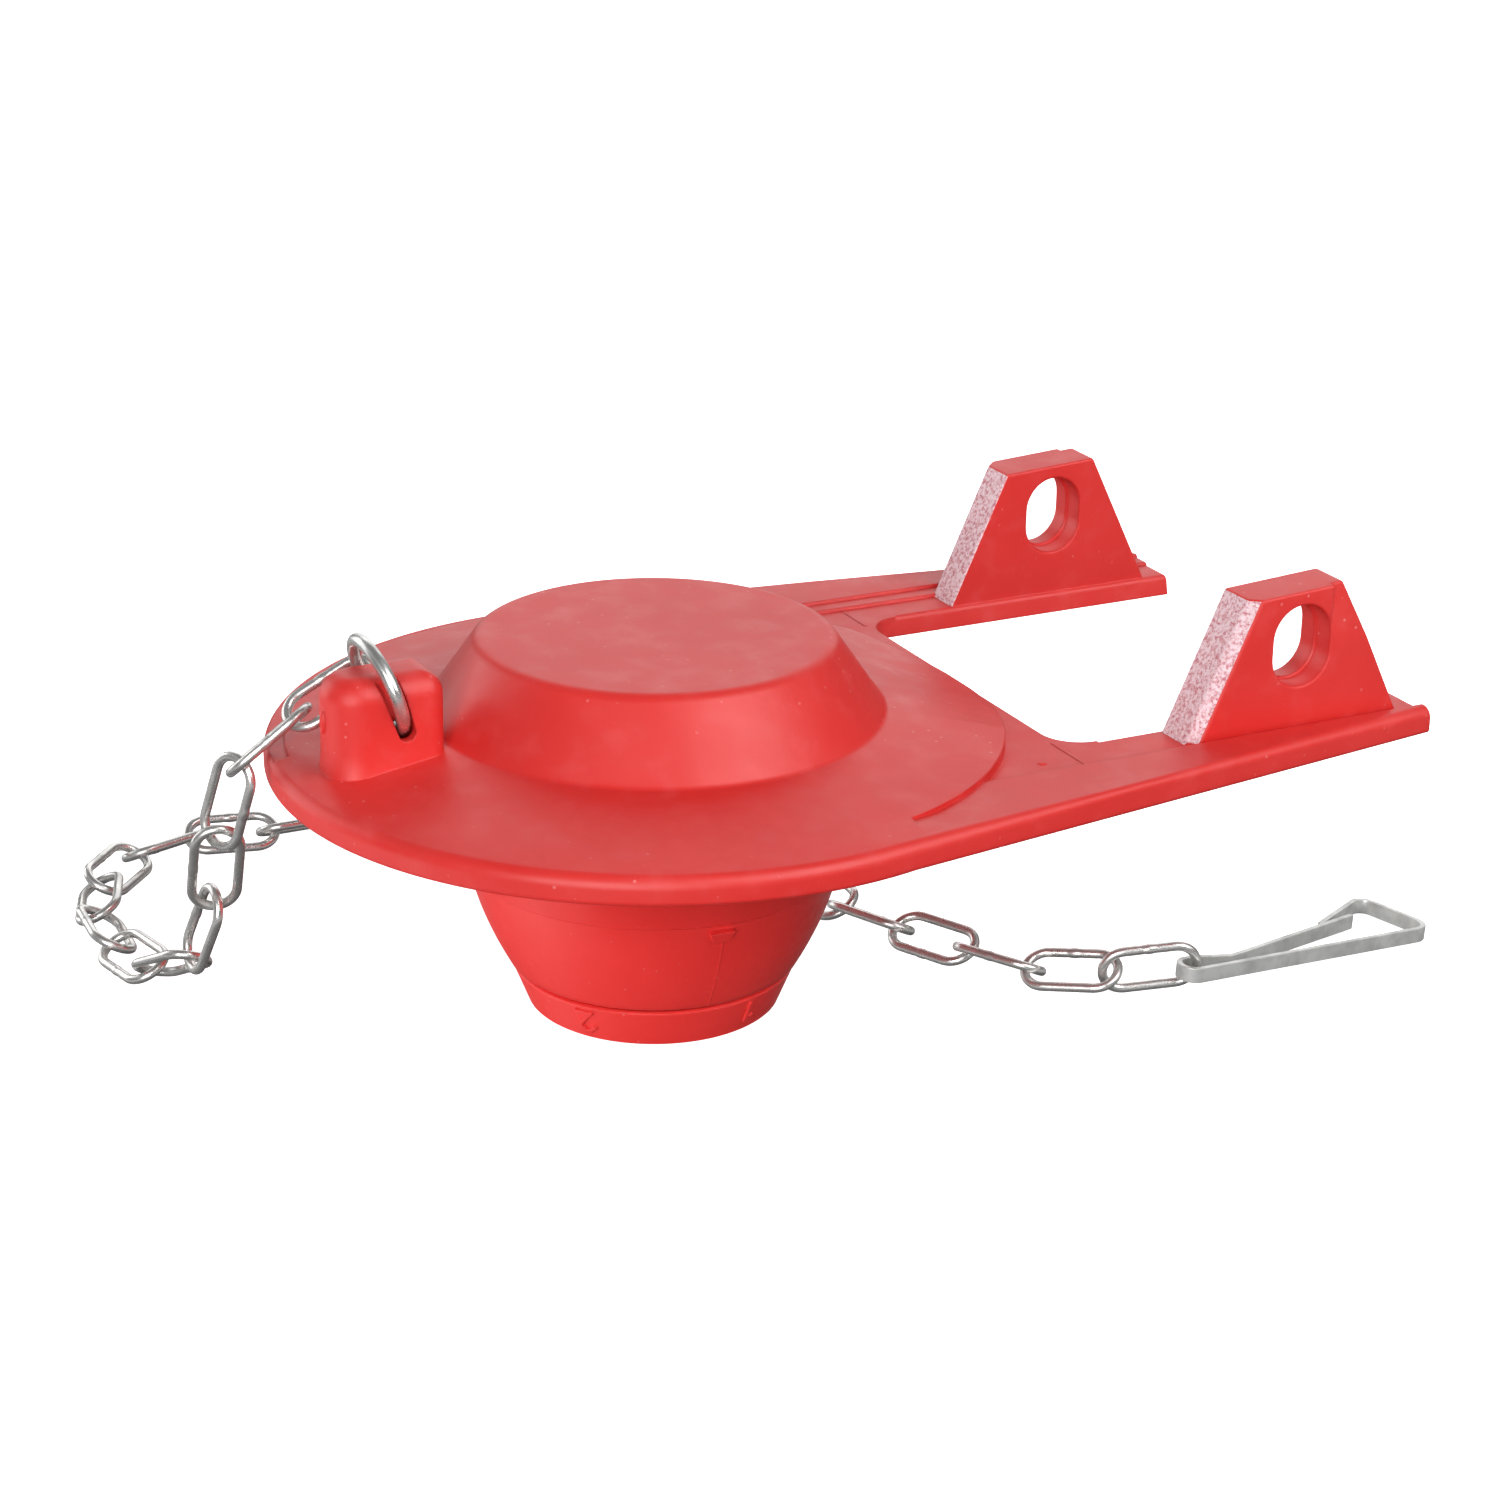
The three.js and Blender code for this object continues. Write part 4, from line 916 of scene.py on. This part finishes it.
def adjuster_dial():
    """The knob at the foot with its stem, its numerals and a port."""
    barb = CONE_BOTTOM + FLOAT_FLOOR + GAP
    tip = barb + STEM_TIP["height"]
    floor = DIAL_WALL
    rim = DIAL_TOP_RADIUS - DIAL_TOP_CHAMFER
    dial = revolve("adjuster_dial_skin", [
        (0, 0), *arc(DIAL_FOOT_RADIUS, DIAL_FOOT_ROUND, DIAL_FOOT_ROUND, -90, DIAL_FOOT_ANGLE, 8),
        (DIAL_TOP_RADIUS, DIAL_HEIGHT - DIAL_TOP_EDGE), (DIAL_TOP_RADIUS - 0.04, DIAL_HEIGHT - 0.2),
        (rim, DIAL_HEIGHT), (rim - DIAL_WALL, DIAL_HEIGHT), (DIAL_FOOT_RADIUS - 0.4, floor),
        (STEM_RADIUS, floor), (STEM_RADIUS, barb), (STEM_RADIUS + STEM_BARB, barb + 0.1),
        (STEM_RADIUS + STEM_BARB, barb + STEM_BARB_TOP), (STEM_RADIUS - STEM_TIP["taper"], tip), (0, tip),
    ])
    for digit in range(1, NUMERALS + 1):
        boolean(dial, "UNION", *numeral(digit))
    port = revolve("port", [(0, -1), (PORT_RADIUS / 2, -1), (PORT_RADIUS / 2, 3), (0, 3)], 48)
    port.data.transform(Matrix.Translation((0, (DIAL_FOOT_RADIUS - DIAL_PORT_INSET) * MM, 0)))
    return smooth(boolean(dial, "DIFFERENCE", port))


# Ring, chain and hook

def wire_loop(name, path, wire, swell=lambda s: 1.0):
    """Sweeps a round wire along a closed flat loop of (x, y, nx, ny)."""
    rings = []
    for x, y, nx, ny in path:
        radius = wire / 2 * swell((x, y))
        ring = []
        for i in range(WIRE_SIDES):
            t = 2 * math.pi * i / WIRE_SIDES
            ring.append((x + nx * radius * math.cos(t), y + ny * radius * math.cos(t), radius * math.sin(t)))
        rings.append(ring)
    return loft(name, rings, closed=True)


def link_path():
    """The centre line of a link's wire, as (x, y) with the outward direction at each point."""
    radius = (LINK_WIDTH - WIRE) / 2
    straight = (LINK_LENGTH - LINK_WIDTH) / 2
    path = []
    for half in (0, 1):
        for t in np.linspace(-math.pi / 2, math.pi / 2, LINK_STEPS + 1) + math.pi * half:
            path.append(((-straight if half else straight) + radius * math.cos(t), radius * math.sin(t),
                         math.cos(t), math.sin(t)))
        ends = (straight, -straight) if half == 0 else (-straight, straight)
        side = 1 if half == 0 else -1
        path += [(x, side * radius, 0, side) for x in np.linspace(*ends, SIDE_STEPS + 2)[1:-1]]
    return path


def weld(point):
    """How much the wire swells at the butt weld in the middle of one side."""
    x, y = point
    if y < 0:
        return 1.0
    t = x / WELD["length"]
    groove = math.exp(-((abs(t) - WELD["groove_at"]) / WELD["groove_width"]) ** 2)
    return 1 + WELD["swell"] * math.exp(-t * t) - WELD["groove"] * groove


def principal_place(node):
    """Where a flat link lies: x along its length, y across its width, z out of its plane."""
    points = np.array([v.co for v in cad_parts[node].data.vertices], float)
    middle = points.mean(0)
    axes = np.linalg.svd(points - middle, full_matrices=False)[2]
    if np.dot(np.cross(axes[0], axes[1]), axes[2]) < 0:
        axes[2] = -axes[2]
    place = Matrix([[float(v) for v in row] for row in axes]).transposed().to_4x4()
    place.translation = Vector(middle.tolist())
    return place


def chain_links():
    """One wire loop for each link of the frame, laid where that link lies."""
    pattern = wire_loop("pattern", link_path(), WIRE, weld)
    nodes = sorted(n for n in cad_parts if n.startswith("chain_link_"))
    links = []
    for number, node in enumerate(nodes):
        link = bpy.data.objects.new(node + "_wire", pattern.data.copy())
        scene.collection.objects.link(link)
        turn = Matrix.Rotation(math.pi if number % TURN_EVERY == 1 else 0, 4, "X")
        link.data.transform(principal_place(node) @ turn)
        links.append((smooth(link), node))
    bpy.data.objects.remove(pattern)
    return links


def lug_ring():
    """The oval ring that leans back in the lug's slot."""
    path = []
    for t in np.linspace(0, 2 * math.pi, RING_STEPS + 1)[:-1]:
        nx, ny = math.cos(t) / RING_HALF_WIDTH, math.sin(t) / RING_HALF_HEIGHT
        length = math.hypot(nx, ny)
        path.append((RING_HALF_WIDTH * math.cos(t), RING_HALF_HEIGHT * math.sin(t),
                     nx / length, ny / length))
    ring = wire_loop("lug_ring_wire", path, RING_WIRE)
    lean = math.radians(RING_LEAN)
    up = Vector((0, -math.sin(lean), math.cos(lean)))
    across = Vector((1, 0, 0))
    place = Matrix((across, up, across.cross(up))).transposed().to_4x4()
    seat = Vector((RING_SHIFT_X, LUG_HOLE_Y + RING_BACK, LUG_HOLE_Z - RING_SEAT))
    place.translation = (seat + up * RING_HALF_HEIGHT) * MM
    ring.data.transform(place)
    return smooth(ring)


def hook_line():
    """The hook's centre line: from its free end, round the eye, out and round the far bend."""
    length, width, eye, bend = (HOOK[k] for k in ("length", "width", "eye", "round"))
    return [
        (length - 6.6, width - 3.6), (length * 0.24, eye * 1.25), (length * 0.2, eye * 1.15),
        (eye * 2, eye * 2 - 0.1), *arc(eye, eye, eye, 95, 270, 16), (eye + 2, 0),
        *arc(length - bend, bend, bend, -90, 12, 14),
        *arc(length - 2.9, width - bend * 0.8, bend * 0.8, 12, 115, 12), (length - 12, width - 4.3),
    ]


def snap_hook(last_link):
    """The bent strip, with its eye in the bow of the last link."""
    hook = prism("snap_hook_strip", ribbon(hook_line(), HOOK["thick"]), 0, HOOK["height"])
    tilt = Matrix.Rotation(math.asin(HOOK_LIFT / HOOK["length"]), 4, "Y")
    heading = Matrix.Rotation(math.radians(HOOK_HEADING), 4, "Z") @ tilt
    place = principal_place(last_link)
    along = place.to_3x3() @ Vector((1, 0, 0))
    if along.y < 0:
        along.negate()
    bow = place.translation / MM + along * (LINK_LENGTH - WIRE) / 2
    origin = bow - heading.to_3x3() @ Vector((HOOK_REACH, HOOK["eye"], 0))
    origin.z = HOOK_LIFT
    bevel(hook, HOOK_ROUND, 2)
    hook.data.transform(Matrix.Translation(origin * MM) @ heading)
    return smooth(hook)


# The room

def camera():
    """The photograph's camera."""
    angles = (CAMERA_BACK_AZIMUTH, CAMERA_ELEVATION, CAMERA_ROLL)
    azimuth, elevation, roll = (math.radians(v) for v in angles)
    back = Vector((math.sin(azimuth) * math.cos(elevation), -math.cos(azimuth) * math.cos(elevation),
                   math.sin(elevation)))
    right = Vector((math.cos(azimuth), math.sin(azimuth), 0))
    up = back.cross(right)
    position = back * CAMERA_DISTANCE + right * CAMERA_SIDE + up * CAMERA_RISE
    position.z += CAMERA_AIM_HEIGHT
    turned = (right * math.cos(roll) + up * math.sin(roll), up * math.cos(roll) - right * math.sin(roll))
    place = Matrix((*turned, back)).transposed().to_4x4()
    place.translation = position * MM
    data = bpy.data.cameras.new("camera")
    data.lens = CAMERA_LENS
    data.sensor_width = CAMERA_SENSOR
    data.clip_start = CAMERA_CLIP
    view = bpy.data.objects.new("camera", data)
    view.matrix_world = place
    scene.collection.objects.link(view)
    scene.camera = view


def softbox(name, azimuth, elevation, distance, size, power):
    """A square light that looks at the part; azimuth 0 stands at -Y and 90 at +X."""
    a, e = math.radians(azimuth), math.radians(elevation)
    back = Vector((math.sin(a) * math.cos(e), -math.cos(a) * math.cos(e), math.sin(e)))
    data = bpy.data.lights.new(name, "AREA")
    data.shape = "SQUARE"
    data.size = size
    data.energy = power
    lamp = bpy.data.objects.new(name, data)
    lamp.rotation_euler = back.to_track_quat("Z", "Y").to_euler()
    lamp.location = back * distance + Vector(LIGHT_AIM)
    lamp.visible_glossy = name != UNMIRRORED
    scene.collection.objects.link(lamp)


def sky():
    """A grey world whose brightness changes with height alone."""
    world = bpy.data.worlds.new("studio")
    world.use_nodes = True
    background = world.node_tree.nodes["Background"]
    background.inputs["Strength"].default_value = WORLD_STRENGTH
    coordinates = world.node_tree.nodes.new("ShaderNodeTexCoord")
    split = world.node_tree.nodes.new("ShaderNodeSeparateXYZ")
    ramp = world.node_tree.nodes.new("ShaderNodeValToRGB")
    world.node_tree.links.new(coordinates.outputs["Generated"], split.inputs[0])
    rise = world.node_tree.nodes.new("ShaderNodeMapRange")
    rise.inputs["From Min"].default_value = -1.0
    world.node_tree.links.new(split.outputs["Z"], rise.inputs["Value"])
    world.node_tree.links.new(rise.outputs["Result"], ramp.inputs["Fac"])
    world.node_tree.links.new(ramp.outputs["Color"], background.inputs["Color"])
    stops = ramp.color_ramp.elements
    levels = list(WORLD_LEVELS.items())
    for stop, (position, level) in zip(stops, (levels[0], levels[-1])):
        stop.position = position
        stop.color = (level, level, level, 1)
    for position, level in levels[1:-1]:
        stops.new(position).color = (level, level, level, 1)
    scene.world = world
    scene.view_settings.view_transform = "Standard"


def white_floor():
    """A white floor with white walls, seen by the camera alone."""
    nodes = Nodes("floor")
    nodes.shader.inputs["Roughness"].default_value = 1.0
    nodes.shader.inputs["Specular IOR Level"].default_value = 0.0
    faint = nodes.step(nodes.noise(3, 2), 0.0, 1.0, *FLOOR_WHITE)
    nodes.feed(nodes.shader.inputs["Base Color"], nodes.mix(faint, (0, 0, 0), (1, 1, 1)))
    nodes.shader.inputs["Emission Color"].default_value = (1, 1, 1, 1)
    nodes.shader.inputs["Emission Strength"].default_value = 1.0
    half = FLOOR_HALF
    corners = [(-half, -half), (half, -half), (half, half), (-half, half)]
    walls = [(i, (i + 1) % 4, (i + 1) % 4 + 4, i + 4) for i in range(4)]
    ground = make("floor", [(x, y, z) for z in (0, half) for x, y in corners], [(0, 1, 2, 3), *walls])
    ground.data.materials.append(nodes.material)
    ground.visible_diffuse = False
    ground.visible_glossy = False
    ground.visible_shadow = False


camera()
sky()
for name, light in LIGHTS.items():
    softbox(name, *light)
white_floor()

rubber, speckled_highlight, plastic = rubber_material(), speckled_highlight_material(), plastic_material()
wire_steel, ring_steel, strip_steel = (steel_material(name, **look) for name, look in STEELS.items())

body = dress(flapper_body(), "root", "red_rubber", rubber, speckled_highlight, stands_for="flapper_body")
# faces on the ears' sloping fronts get the speckled material with its painted highlight
for face in body.data.polygons:
    if on_ear_front(face):
        face.material_index = 1

dress(float_cone(), "root", "red_plastic", plastic, stands_for="float_cone")
dress(adjuster_dial(), "dial", "red_plastic", plastic, stands_for="adjuster_dial")
dress(lug_ring(), "ring", "steel_wire", ring_steel, stands_for="lug_ring")
chain = chain_links()
for link, node in chain:
    dress(link, "root", "steel_wire", wire_steel, stands_for=node)
dress(snap_hook(chain[-1][1]), "root", "steel_wire", strip_steel, stands_for="snap_hook")
